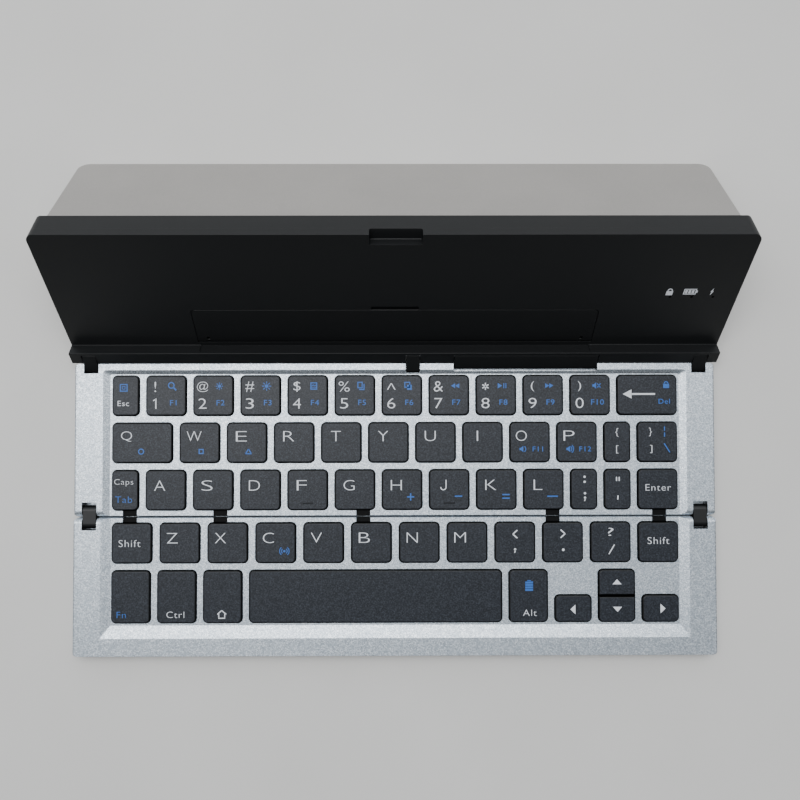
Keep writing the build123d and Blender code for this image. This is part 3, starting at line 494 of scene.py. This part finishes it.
def pale_floor():
    """A plain, faintly uneven studio floor."""
    shader = Shader("pale_floor", 0.55, specular=0.3)
    cloud = shader.noise(60.0 * MM, detail=4.0)
    shader.colour(shader.ramp(cloud, [(0.3, (0.66, 0.645, 0.62)), (0.7, (0.70, 0.685, 0.66))]))
    shader.bump(shader.noise(1.2 * MM, detail=4.0), 0.02 * MM)
    return shader.material


MATERIALS = {
    "silver_paint": silver_paint(),
    "key_plastic": key_plastic(),
    # the lid's plastic gets a painted reflection, a lighter colour on its face and back
    "black_plastic": black_plastic("black_plastic", 0.44, 0.0035, 0.010, painted_reflection_level=0.0075),
    "flap_plastic": black_plastic("flap_plastic", 0.42, 0.0058, 0.008),
    "link_plastic": black_plastic("link_plastic", 0.40, 0.0060, 0.006, specular=0.4),
    "inner_plastic": black_plastic("inner_plastic", 0.6, 0.0022, 0.012, specular=0.12),
    "stand_metal": anodised("stand_metal", 0.46, 0.045),
    "base_metal": anodised("base_metal", 0.46, 0.01),
    "steel": drawn_steel(),
    "rubber": rubber(),
    "circuit": circuit(),
    "battery_wrap": foil(),
    "lens": lens(),
}
WHITE_INK = ink("white_ink", (0.80, 0.82, 0.86), (0.62, 0.64, 0.68))
BLUE_INK = ink("blue_ink", (0.030, 0.155, 0.52), (0.018, 0.10, 0.38))


def dress_cad_nodes():
    """Gives every CAD node the material of its slot."""
    for part in frame["record"]["subparts"]:
        node = bpy.data.objects[part["node"]]
        for slot in node.material_slots:
            slot.material = MATERIALS[part["material_slot"]]


# ---------------------------------------------------------------------------------------------
# Flat marks: lettering and signs, built in millimetres on a plane and laid on a surface
# ---------------------------------------------------------------------------------------------
MARK_SINK = 0.02
MARK_RISE = 0.012

# share of a letter's type size that its capital height takes, and the steps of its curves
CAPITAL_SHARE = 0.73
LETTER_STEPS = 4
MERGE_WITHIN = 1e-7


class Marks:
    """Collects printed marks of one ink and turns them into one thin mesh."""

    def __init__(self):
        self.mesh = bmesh.new()

    def outline(self, points):
        """A filled outline with straight sides, its points going anticlockwise."""
        low = [self.mesh.verts.new((x, y, -MARK_SINK)) for x, y in points]
        high = [self.mesh.verts.new((x, y, MARK_RISE)) for x, y in points]
        self.mesh.faces.new(high)
        self.mesh.faces.new(low[::-1])
        for a in range(len(points)):
            b = (a + 1) % len(points)
            self.mesh.faces.new((low[a], low[b], high[b], high[a]))

    def bar(self, start, end, width):
        """A straight stroke with square ends."""
        start, end = Vector(start), Vector(end)
        side = (end - start).normalized().orthogonal() * width / 2
        corners = [start - side, end - side, end + side, start + side]
        anticlockwise = (end - start).cross(side) >= 0
        self.outline(corners if anticlockwise else corners[::-1])

    def arc(self, centre, radius, width, start=0.0, end=360.0, steps=24):
        """A stroke along an arc of a circle, or a ring."""
        full = end - start >= 360.0
        count = steps if full else steps + 1
        angles = [radians(start + (end - start) * k / steps) for k in range(count)]
        rings = []
        for z in (-MARK_SINK, MARK_RISE):
            for r in (radius - width / 2, radius + width / 2):
                rings.append([
                    self.mesh.verts.new((centre[0] + r * cos(a), centre[1] + r * sin(a), z))
                    for a in angles
                ])
        low_in, low_out, high_in, high_out = rings
        for a in range(steps):
            b = (a + 1) % count
            self.mesh.faces.new((high_in[a], high_out[a], high_out[b], high_in[b]))
            self.mesh.faces.new((low_in[b], low_out[b], low_out[a], low_in[a]))
            self.mesh.faces.new((low_out[a], low_out[b], high_out[b], high_out[a]))
            self.mesh.faces.new((low_in[b], low_in[a], high_in[a], high_in[b]))
        if not full:
            first, last = 0, count - 1
            self.mesh.faces.new((low_in[first], low_out[first], high_out[first], high_in[first]))
            self.mesh.faces.new((low_out[last], low_in[last], high_in[last], high_out[last]))

    def disc(self, centre, radius, steps=20):
        """A filled circle."""
        self.outline([
            (centre[0] + radius * cos(2 * pi * k / steps), centre[1] + radius * sin(2 * pi * k / steps))
            for k in range(steps)
        ])

    def frame(self, centre, width, height, line):
        """An open rectangle."""
        x, y = centre
        w, h, t = width / 2, height / 2, line / 2
        self.bar((x - w, y - h + t), (x + w, y - h + t), line)
        self.bar((x - w, y + h - t), (x + w, y + h - t), line)
        self.bar((x - w + t, y - h + line), (x - w + t, y + h - line), line)
        self.bar((x + w - t, y - h + line), (x + w - t, y + h - line), line)

    def text(self, words, centre, height, width=None, thin=0.0, spacing=1.0, stretch=1.0):
        """Lettering centred on a point and drawn to a height, and to a width if one is given."""
        curve = bpy.data.curves.new("lettering", "FONT")
        curve.body = words
        curve.size = height / CAPITAL_SHARE
        curve.space_character = spacing
        curve.offset = -thin
        curve.resolution_u = LETTER_STEPS
        curve.extrude = (MARK_SINK + MARK_RISE) / 2
        letters = bpy.data.objects.new("lettering", curve)
        bpy.context.collection.objects.link(letters)
        bpy.context.view_layer.update()
        shown = letters.evaluated_get(bpy.context.evaluated_depsgraph_get())
        drawn = bpy.data.meshes.new_from_object(shown)
        across = [vertex.co.x for vertex in drawn.vertices]
        up = [vertex.co.y for vertex in drawn.vertices]
        if width:
            stretch = width / (max(across) - min(across))
        middle = Vector(((max(across) + min(across)) / 2, (max(up) + min(up)) / 2, 0.0))
        tall = height / (max(up) - min(up)) if len(words) == 1 else 1.0
        rise = (MARK_RISE - MARK_SINK) / 2
        drawn.transform(
            Matrix.Translation((centre[0], centre[1], rise))
            @ Matrix.Diagonal((stretch, tall, 1.0, 1.0))
            @ Matrix.Translation(-middle)
        )
        self.mesh.from_mesh(drawn)
        bpy.data.objects.remove(letters)
        bpy.data.curves.remove(curve)
        bpy.data.meshes.remove(drawn)

    def lay(self, name, plane, material, body):
        """Ends the mesh and lays it on a plane, given as a matrix in metres."""
        data = bpy.data.meshes.new(name)
        self.mesh.transform(plane @ Matrix.Scale(MM, 4))
        bmesh.ops.remove_doubles(self.mesh, verts=self.mesh.verts, dist=MERGE_WITHIN)
        bmesh.ops.recalc_face_normals(self.mesh, faces=self.mesh.faces)
        self.mesh.to_mesh(data)
        self.mesh.free()
        data.materials.append(material)
        piece = bpy.data.objects.new(name, data)
        bpy.context.collection.objects.link(piece)
        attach(piece, body)


# ---------------------------------------------------------------------------------------------
# Key signs. Each draws itself about a point, in millimetres.
# ---------------------------------------------------------------------------------------------
HAIR, THIN, LINE, STROKE = 0.26, 0.34, 0.36, 0.42
SUN_RAYS = 8
SUN_GAP = 0.22
STAR_TURNS = (90, 30, 150)
STAR_REACH = 1.2


def sign_one(marks, x, y):
    marks.bar((x + 0.2, y - 1.75), (x + 0.2, y + 1.75), STROKE)
    marks.bar((x + 0.2, y + 1.55), (x - 0.75, y + 0.95), LINE)


def sign_star(marks, x, y):
    for turn in STAR_TURNS:
        way = Vector((cos(radians(turn)), sin(radians(turn)))) * STAR_REACH
        marks.bar((x - way.x, y - way.y), (x + way.x, y + way.y), 0.4)


def sign_hooked_letter(marks, x, y, height):
    """The letter J, whose stem keeps the stroke of the other letters."""
    marks.bar((x + 0.85, y + height / 2), (x + 0.85, y - 0.75), THIN)
    marks.arc((x - 0.05, y - 0.72), 0.9, THIN, 180, 360, 12)


def sign_square(marks, x, y):
    marks.frame((x, y), 2.6, 2.6, THIN)
    marks.frame((x, y), 1.1, 1.1, 0.2)


def sign_magnifier(marks, x, y):
    marks.arc((x - 0.3, y + 0.3), 0.95, LINE)
    marks.bar((x + 0.4, y - 0.4), (x + 1.35, y - 1.35), 0.5)


def sign_sun(marks, x, y, disc, ray):
    marks.disc((x, y), disc)
    for k in range(SUN_RAYS):
        a = 2 * pi * k / SUN_RAYS
        inner, outer = disc + SUN_GAP, disc + SUN_GAP + ray
        way = Vector((cos(a), sin(a)))
        marks.bar(Vector((x, y)) + inner * way, Vector((x, y)) + outer * way, HAIR)


def sign_dim_sun(marks, x, y):
    sign_sun(marks, x, y, 0.55, 0.45)


def sign_bright_sun(marks, x, y):
    sign_sun(marks, x, y, 0.6, 0.75)


def sign_picture(marks, x, y):
    marks.frame((x, y), 2.3, 2.5, THIN)
    marks.bar((x - 0.75, y - 0.1), (x - 0.2, y + 0.45), 0.3)
    marks.bar((x - 0.2, y + 0.45), (x + 0.25, y - 0.1), 0.3)
    marks.bar((x + 0.25, y - 0.1), (x + 0.7, y + 0.4), 0.3)
    marks.bar((x - 0.8, y - 0.6), (x + 0.8, y - 0.6), 0.22)


def sign_copy(marks, x, y):
    marks.frame((x - 0.3, y + 0.3), 1.8, 2.2, THIN)
    marks.bar((x - 0.6, y - 1.2), (x + 1.2, y - 1.2), LINE)
    marks.bar((x + 1.05, y - 1.02), (x + 1.05, y + 0.7), THIN)


def sign_paste(marks, x, y):
    marks.frame((x - 0.25, y + 0.35), 2.0, 2.0, 0.32)
    marks.outline([(x - 0.35, y - 1.35), (x + 1.25, y - 1.35), (x + 1.25, y + 0.35), (x - 0.35, y + 0.35)])


def triangle(marks, x, y, width, height, way):
    """A triangle pointing along +X or -X."""
    tip, back = x + way * width / 2, x - way * width / 2
    corners = [(back, y - height / 2), (tip, y), (back, y + height / 2)]
    marks.outline(corners if way > 0 else corners[::-1])


def sign_rewind(marks, x, y):
    triangle(marks, x - 0.7, y, 1.35, 1.6, -1)
    triangle(marks, x + 0.7, y, 1.35, 1.6, -1)


def sign_play(marks, x, y):
    triangle(marks, x - 0.75, y, 1.5, 1.8, 1)
    marks.bar((x + 0.55, y - 0.85), (x + 0.55, y + 0.85), 0.28)
    marks.bar((x + 1.25, y - 0.85), (x + 1.25, y + 0.85), 0.28)


def sign_forward(marks, x, y):
    triangle(marks, x - 0.7, y, 1.35, 1.6, 1)
    triangle(marks, x + 0.7, y, 1.35, 1.6, 1)


def speaker(marks, x, y):
    marks.outline([(x - 0.6, y - 0.4), (x - 0.1, y - 0.4), (x - 0.1, y + 0.4), (x - 0.6, y + 0.4)])
    marks.outline([(x - 0.1, y - 0.4), (x + 0.65, y - 1.05), (x + 0.65, y + 1.05), (x - 0.1, y + 0.4)])


def sign_mute(marks, x, y):
    speaker(marks, x - 0.7, y)
    marks.bar((x + 0.35, y - 0.7), (x + 1.45, y + 0.7), 0.28)
    marks.bar((x + 0.35, y + 0.7), (x + 1.45, y - 0.7), 0.28)


def sign_softer(marks, x, y):
    speaker(marks, x - 0.4, y)
    marks.arc((x - 0.1, y), 1.2, HAIR, -50, 50, 8)


def sign_louder(marks, x, y):
    speaker(marks, x - 0.6, y)
    marks.arc((x - 0.4, y), 1.05, HAIR, -50, 50, 8)
    marks.arc((x - 0.4, y), 1.65, HAIR, -50, 50, 8)


def sign_lock(marks, x, y):
    marks.outline([(x - 1.0, y - 1.2), (x + 1.0, y - 1.2), (x + 1.0, y + 0.25), (x - 1.0, y + 0.25)])
    marks.arc((x, y + 0.35), 0.62, 0.32, 0, 180, 12)


def sign_long_arrow(marks, x, y):
    triangle(marks, x - 4.0, y, 3.0, 3.1, -1)
    marks.bar((x - 2.6, y), (x + 5.5, y), 0.6)


def sign_waves(marks, x, y):
    """A plain radio mark: a dot with arcs on both sides, for the pairing key."""
    marks.disc((x, y), 0.38)
    for start in (-50, 130):
        marks.arc((x, y), 0.95, HAIR, start, start + 100, 8)
        marks.arc((x, y), 1.6, HAIR, start, start + 100, 10)


def sign_cell(marks, x, y):
    """An upright battery with level bars."""
    marks.outline([(x - 0.6, y + 1.55), (x + 0.6, y + 1.55), (x + 0.6, y + 1.85), (x - 0.6, y + 1.85)])
    for k in range(4):
        low = y - 1.75 + 0.83 * k
        marks.outline([(x - 1.3, low), (x + 1.3, low), (x + 1.3, low + 0.66), (x - 1.3, low + 0.66)])


def sign_home(marks, x, y):
    """A plain house, for the system key."""
    marks.bar((x - 1.5, y + 0.1), (x, y + 1.4), THIN)
    marks.bar((x, y + 1.4), (x + 1.5, y + 0.1), THIN)
    marks.bar((x - 1.0, y + 0.3), (x - 1.0, y - 1.1), THIN)
    marks.bar((x + 1.0, y + 0.3), (x + 1.0, y - 1.1), THIN)
    marks.bar((x - 1.17, y - 1.2), (x + 1.17, y - 1.2), THIN)


def sign_ring(marks, x, y):
    marks.arc((x, y), 0.85, THIN)


def sign_box(marks, x, y):
    marks.frame((x, y), 1.7, 1.7, THIN)


def sign_peak(marks, x, y):
    marks.bar((x - 1.0, y - 0.8), (x, y + 0.8), THIN)
    marks.bar((x, y + 0.8), (x + 1.0, y - 0.8), THIN)
    marks.bar((x - 1.0, y - 0.8), (x + 1.0, y - 0.8), THIN)


def sign_plus(marks, x, y):
    marks.bar((x - 1.2, y), (x + 1.2, y), STROKE)
    marks.bar((x, y - 1.2), (x, y - 0.21), STROKE)
    marks.bar((x, y + 0.21), (x, y + 1.2), STROKE)


def sign_minus(marks, x, y):
    marks.bar((x - 1.25, y), (x + 1.25, y), STROKE)


def sign_equals(marks, x, y):
    marks.bar((x - 1.25, y + 0.6), (x + 1.25, y + 0.6), STROKE)
    marks.bar((x - 1.25, y - 0.6), (x + 1.25, y - 0.6), STROKE)


def sign_dash(marks, x, y):
    marks.bar((x - 1.8, y), (x + 1.8, y), STROKE)


def sign_broken_bar(marks, x, y):
    marks.bar((x, y + 0.3), (x, y + 1.7), THIN)
    marks.bar((x, y - 1.7), (x, y - 0.3), THIN)


def sign_backslash(marks, x, y):
    marks.bar((x - 0.95, y + 1.5), (x + 0.95, y - 1.5), THIN)


def sign_slash(marks, x, y):
    marks.bar((x - 0.95, y - 1.6), (x + 0.95, y + 1.6), LINE)


def sign_less(marks, x, y):
    marks.bar((x + 0.75, y + 1.35), (x - 0.75, y), STROKE)
    marks.bar((x - 0.75, y), (x + 0.75, y - 1.35), STROKE)


def sign_more(marks, x, y):
    marks.bar((x - 0.75, y + 1.35), (x + 0.75, y), STROKE)
    marks.bar((x + 0.75, y), (x - 0.75, y - 1.35), STROKE)


def sign_comma(marks, x, y):
    marks.disc((x, y + 0.25), STROKE)
    marks.bar((x + 0.22, y + 0.2), (x - 0.2, y - 0.85), THIN)


def sign_dot(marks, x, y):
    marks.disc((x, y), 0.45)


def sign_colon(marks, x, y):
    marks.disc((x, y + 0.85), 0.4)
    marks.disc((x, y - 0.85), 0.4)


def sign_semicolon(marks, x, y):
    marks.disc((x, y + 1.3), 0.4)
    sign_comma(marks, x, y - 0.5)


def sign_quotes(marks, x, y):
    for side in (-0.45, 0.45):
        marks.bar((x + side, y + 0.7), (x + side, y - 0.7), 0.4)


def sign_quote(marks, x, y):
    marks.bar((x, y + 0.7), (x - 0.1, y - 0.7), STROKE)


def sign_left(marks, x, y):
    triangle(marks, x, y, 1.7, 3.2, -1)


def sign_right(marks, x, y):
    triangle(marks, x, y, 1.7, 3.2, 1)


def sign_up(marks, x, y):
    marks.outline([(x - 1.55, y - 0.85), (x + 1.55, y - 0.85), (x, y + 0.85)])


def sign_down(marks, x, y):
    marks.outline([(x + 1.55, y + 0.85), (x - 1.55, y + 0.85), (x, y - 0.85)])


# ---------------------------------------------------------------------------------------------
# Legends. Each key lists (ink, what, dx, dy, height), measured from the key's middle.
# ---------------------------------------------------------------------------------------------
LETTER_HEIGHT = 3.45
LETTER_THIN = 0.095
WORD_THIN = 0.045
SMALL_WORD = 1.95
WORD_SPACING = 1.1
WORD_STRETCH = 1.14

# a letter's width as a share of its height, where it isn't the usual one
USUAL_WIDTH = 1.08
LETTER_WIDTHS = {"I": 0.13, "L": 0.84, "F": 0.98, "T": 0.96, "Y": 1.0, "W": 1.45, "M": 1.14}
SYMBOL_WIDTHS = {
    "!": 0.16, "@": 1.1, "#": 0.85, "$": 0.68, "%": 1.08, "^": 0.85, "&": 0.9,
    "(": 0.32, ")": 0.32, "{": 0.36, "}": 0.36, "[": 0.3, "]": 0.3, "?": 0.72,
}
SYMBOL_HEIGHTS = {"^": 0.62}
DIGIT_WIDTH = 0.78

SHIFTED = "!@#$%^&*()"
DIGIT_SIGNS = [
    sign_magnifier, sign_dim_sun, sign_bright_sun, sign_picture, sign_copy,
    sign_paste, sign_rewind, sign_play, sign_forward, sign_mute,
]


def digit_legends():
    """The number row: digit and shifted sign on the left, blue function on the right."""
    rows = []
    for k, sign in enumerate(DIGIT_SIGNS):
        digit = sign_one if k == 0 else str((k + 1) % 10)
        rows.append([
            ("white", SHIFTED[k], -3.6, 3.0, 3.5),
            ("white", digit, -3.6, -2.7, 3.5),
            ("blue", sign, 2.1, 3.2, 0),
            ("blue", "F" + str(k + 1), 2.5, -2.4, 1.9),
        ])
    return rows


def letter_legends(letters, dx, dy, extras):
    """A row of letters, each with its extra marks."""
    return [
        [("white", letter, dx, dy, LETTER_HEIGHT)] + extras.get(letter, []) for letter in letters
    ]


# letters of the upper row that are printed further to the left on their caps
FURTHER_LEFT = {0: -3.45, 8: -1.1, 9: -0.9}


def upper_letter_legends():
    """The upper letter row, with generic shapes on its first three keys."""
    extras = {
        "Q": [("blue", sign_ring, -0.3, -2.9, 0)],
        "W": [("blue", sign_box, 0.6, -2.9, 0)],
        "E": [("blue", sign_peak, 0.6, -2.9, 0)],
        "O": [("blue", sign_softer, -2.5, -2.3, 0), ("blue", "F11", 2.7, -2.3, 1.75)],
        "P": [("blue", sign_louder, -2.4, -2.3, 0), ("blue", "F12", 2.8, -2.3, 1.75)],
    }
    rows = letter_legends("QWERTYUIOP", -1.8, 2.2, extras)
    for k, extra in FURTHER_LEFT.items():
        kind, what, dx, dy, height = rows[k][0]
        rows[k][0] = (kind, what, dx + extra, dy, height)
    return rows


LEGENDS = {
    "key_escape": [[("blue", sign_square, -0.6, 2.7, 0), ("white", "Esc", -0.7, -2.6, 1.9)]],
    "keys_digits": digit_legends(),
    "key_backspace": [[
        ("white", sign_long_arrow, -2.8, 0.3, 0),
        ("blue", sign_lock, 6.5, 3.5, 0),
        ("blue", "Del", 5.8, -2.2, 1.75),
    ]],
    "keys_upper_letters": upper_letter_legends(),
    "key_left_bracket": [[("white", "{", -0.1, 3.3, 2.9), ("white", "[", 0.0, -2.5, 2.7)]],
    "key_right_bracket": [[
        ("white", "}", -2.4, 3.4, 2.9),
        ("white", "]", -2.2, -2.4, 2.7),
        ("blue", sign_broken_bar, 2.4, 3.5, 0),
        ("blue", sign_backslash, 3.2, -2.0, 0),
    ]],
    "key_caps": [[("white", "Caps", -0.4, 2.6, 2.0), ("blue", "Tab", -0.4, -3.1, 2.35)]],
    "keys_home_letters": letter_legends("ASDFGHJKL", -1.95, 1.6, {
        "H": [("blue", sign_plus, 2.9, -2.4, 0)],
        "J": [("blue", sign_minus, 3.1, -2.2, 0)],
        "K": [("blue", sign_equals, 3.2, -2.3, 0)],
        "L": [("blue", sign_dash, 3.0, -2.3, 0)],
    }),
    "key_semicolon": [[("white", sign_colon, 0.2, 3.4, 0), ("white", sign_semicolon, 0.3, -2.6, 0)]],
    "key_quote": [[("white", sign_quotes, 0.1, 3.5, 0), ("white", sign_quote, 0.1, -2.8, 0)]],
    "key_enter": [[("white", "Enter", 0.1, 0.6, 2.4)]],
    "key_left_shift": [[("white", "Shift", -0.6, 0.0, 2.5)]],
    "keys_lower_letters": letter_legends("ZXCVBNM", -2.4, 1.75, {
        "C": [("blue", sign_waves, 3.0, -2.7, 0)],
    }),
    "key_comma": [[("white", sign_less, 0.0, 2.8, 0), ("white", sign_comma, 0.0, -2.6, 0)]],
    "key_period": [[("white", sign_more, 0.0, 2.9, 0), ("white", sign_dot, 0.1, -2.5, 0)]],
    "key_slash": [[("white", "?", 0.0, 3.5, 2.7), ("white", sign_slash, 0.3, -2.4, 0)]],
    "key_right_shift": [[("white", "Shift", 0.0, 0.5, 2.5)]],
    "key_function": [[("blue", "Fn", -3.0, -5.9, 2.3)]],
    "key_control": [[("white", "Ctrl", -0.3, -5.9, 2.3)]],
    "key_home": [[("white", sign_home, -0.2, -5.9, 0)]],
    "key_alt": [[("blue", sign_cell, 0.2, 3.5, 0), ("white", "Alt", 0.4, -5.6, 2.3)]],
    "key_arrow_left": [[("white", sign_left, -0.2, -0.2, 0)]],
    "key_arrow_up": [[("white", sign_up, 0.0, 0.2, 0)]],
    "key_arrow_down": [[("white", sign_down, 0.1, 0.0, 0)]],
    "key_arrow_right": [[("white", sign_right, 0.7, 0.0, 0)]],
}
INKS = {"white": WHITE_INK, "blue": BLUE_INK}

# caps of one node are at least this far apart
CAP_GAP_LEAST = 1.0 * MM


def cap_middles(node):
    """The middle of each cap in a key node, from left to right, in millimetres."""
    mesh = bpy.data.objects[node].data
    across = sorted(vertex.co.x for vertex in mesh.vertices)
    low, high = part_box(node)
    spans, start = [], across[0]
    for a, b in zip(across, across[1:]):
        if b - a > CAP_GAP_LEAST and not bridged(mesh, a, b):
            spans.append((start, a))
            start = b
    spans.append((start, across[-1]))
    middle_y = (low[1] + high[1]) / 2
    return [((a + b) / 2 / MM, middle_y / MM) for a, b in spans]


def bridged(mesh, a, b):
    """Whether an edge of the mesh spans the gap from a to b along X."""
    for edge in mesh.edges:
        ends = sorted(mesh.vertices[k].co.x for k in edge.vertices)
        if ends[0] <= a and ends[1] >= b:
            return True
    return False


def draw(marks, what, x, y, height):
    """Draws one mark: a sign's function, a letter or a word."""
    if callable(what):
        what(marks, x, y)
    elif what == "J":
        sign_hooked_letter(marks, x, y, height)
    elif what == "*":
        sign_star(marks, x, y)
    elif what.isalpha() and len(what) == 1:
        marks.text(what, (x, y), height, height * LETTER_WIDTHS.get(what, USUAL_WIDTH), LETTER_THIN)
    elif what.isdigit():
        marks.text(what, (x, y), height, height * DIGIT_WIDTH, LETTER_THIN / 2)
    elif len(what) == 1:
        width = height * SYMBOL_WIDTHS[what]
        marks.text(what, (x, y), height * SYMBOL_HEIGHTS.get(what, 1.0), width, LETTER_THIN / 2)
    elif height < SMALL_WORD:
        marks.text(what, (x, y), height, None, 0.0, WORD_SPACING, WORD_STRETCH)
    else:
        marks.text(what, (x, y), height, None, WORD_THIN, WORD_SPACING, WORD_STRETCH)


def print_legends():
    """Lays every key's marks on its cap, one piece for each key node and ink."""
    plane = Matrix.Translation((0, 0, key_top_z))
    for node, caps in LEGENDS.items():
        middles = cap_middles(node)
        for colour, material in INKS.items():
            marks = Marks()
            used = False
            for (x, y), legends in zip(middles, caps):
                for kind, what, dx, dy, height in legends:
                    if kind == colour:
                        draw(marks, what, x + dx, y + dy, height)
                        used = True
            if used:
                marks.lay(f"legend_{node}_{colour}", plane, material, node)
            else:
                marks.mesh.free()


# Homing bars on two of the home row's caps, counted from the left
HOMING_CAPS = (3, 6)
HOMING_DROP = 4.5
HOMING_LENGTH, HOMING_WIDTH, HOMING_RISE = 3.8, 0.42, 0.2
HOMING_ROUND_STEPS = 10
HOMING_LEVELS = 4
HOMING_CREST = 0.035


def stadium(length, half, steps):
    """A closed outline of two half circles of a radius, a length apart along X."""
    points = []
    for side in (1, -1):
        for step in range(steps + 1):
            a = -pi / 2 + pi * step / steps
            points.append((side * (length / 2 + half * cos(a)), side * half * sin(a)))
    return points


def add_homing_bars():
    """Low rounded ridges for the forefingers, lofted from stadium outlines that close in."""
    shape = bmesh.new()
    middles = cap_middles("keys_home_letters")
    for k in HOMING_CAPS:
        x, y = middles[k]
        rings = []
        for level in range(HOMING_LEVELS + 1):
            turn = pi / 2 * level / HOMING_LEVELS
            half = max(HOMING_WIDTH / 2 * cos(turn), HOMING_CREST)
            z = -MARK_SINK + (HOMING_RISE + MARK_SINK) * sin(turn)
            rings.append([
                shape.verts.new((x + out_x, y - HOMING_DROP + out_y, z))
                for out_x, out_y in stadium(HOMING_LENGTH - HOMING_WIDTH, half, HOMING_ROUND_STEPS)
            ])
        count = len(rings[0])
        for low, high in zip(rings, rings[1:]):
            for a in range(count):
                b = (a + 1) % count
                shape.faces.new((low[a], low[b], high[b], high[a]))
        shape.faces.new(rings[-1])
        shape.faces.new(rings[0][::-1])
    shape.transform(Matrix.Translation((0, 0, key_top_z)) @ Matrix.Scale(MM, 4))
    bmesh.ops.recalc_face_normals(shape, faces=shape.faces)
    data = bpy.data.meshes.new("homing_bars")
    shape.to_mesh(data)
    shape.free()
    for face in data.polygons:
        face.use_smooth = True
    data.materials.append(MATERIALS["key_plastic"])
    bars = bpy.data.objects.new("homing_bars", data)
    bpy.context.collection.objects.link(bars)
    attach(bars, "keys_home_letters")


# ---------------------------------------------------------------------------------------------
# Signs on the lid. U runs up its face from the lip's foot.
# ---------------------------------------------------------------------------------------------
LIP_GAP_Y = 0.14 * MM
LIP_RISE_Z = 0.38 * MM
LIP_DEPTH = 4.2 * MM
LID_SIGNS_U = 27.85
LOCK_X, CELL_X, BOLT_X = 87.0, 93.6, 100.4


def lid_face_plane():
    """The lid's face at rest: X along the lid, Y up the face, Z out of it."""
    foot_y = rear_edge_y + LIP_GAP_Y + LIP_DEPTH * sin(LID_LEAN)
    foot_z = rim_z + LIP_RISE_Z - LIP_DEPTH * cos(LID_LEAN)
    return Matrix.Translation((0, foot_y, foot_z)) @ Matrix.Rotation(LID_LEAN, 4, "X")


def sign_lid_lock(marks, x, y):
    marks.outline([(x - 1.05, y - 1.45), (x + 1.05, y - 1.45), (x + 1.05, y + 0.25), (x - 1.05, y + 0.25)])
    marks.arc((x, y + 0.45), 0.66, THIN, 0, 180, 12)
    marks.bar((x - 0.66, y + 0.2), (x - 0.66, y + 0.5), THIN)
    marks.bar((x + 0.66, y + 0.2), (x + 0.66, y + 0.5), THIN)


def sign_lid_cell(marks, x, y):
    marks.frame((x - 0.2, y), 4.0, 2.3, 0.32)
    marks.outline([(x + 1.8, y - 0.5), (x + 2.2, y - 0.5), (x + 2.2, y + 0.5), (x + 1.8, y + 0.5)])
    for k in range(3):
        left = x - 1.75 + 1.06 * k
        marks.outline([(left, y - 0.68), (left + 0.8, y - 0.68), (left + 0.8, y + 0.68), (left, y + 0.68)])


def sign_lid_bolt(marks, x, y):
    marks.outline([(x - 0.5, y - 0.15), (x + 0.1, y - 0.15), (x + 0.3, y + 1.5)])
    marks.outline([(x + 0.5, y + 0.15), (x - 0.1, y + 0.15), (x - 0.3, y - 1.5)])


def print_lid_signs():
    """Lays the three signs above the lid's indicator lenses."""
    marks = Marks()
    sign_lid_lock(marks, LOCK_X, LID_SIGNS_U)
    sign_lid_cell(marks, CELL_X, LID_SIGNS_U)
    sign_lid_bolt(marks, BOLT_X, LID_SIGNS_U)
    marks.lay("lid_signs", lid_face_plane(), WHITE_INK, "lid")


# ---------------------------------------------------------------------------------------------
# Scene
# ---------------------------------------------------------------------------------------------
def add_floor():
    """The table top, a large flat sheet under the case."""
    mesh = bpy.data.meshes.new("floor")
    shape = bmesh.new()
    bmesh.ops.create_grid(shape, x_segments=FLOOR_CELLS, y_segments=FLOOR_CELLS, size=FLOOR_HALF)
    shape.to_mesh(mesh)
    shape.free()
    mesh.materials.append(pale_floor())
    floor = bpy.data.objects.new("floor", mesh)
    bpy.context.collection.objects.link(floor)


add_camera()
add_world()
add_overhead_light()
add_floor()
dress_cad_nodes()
print_legends()
add_homing_bars()
print_lid_signs()
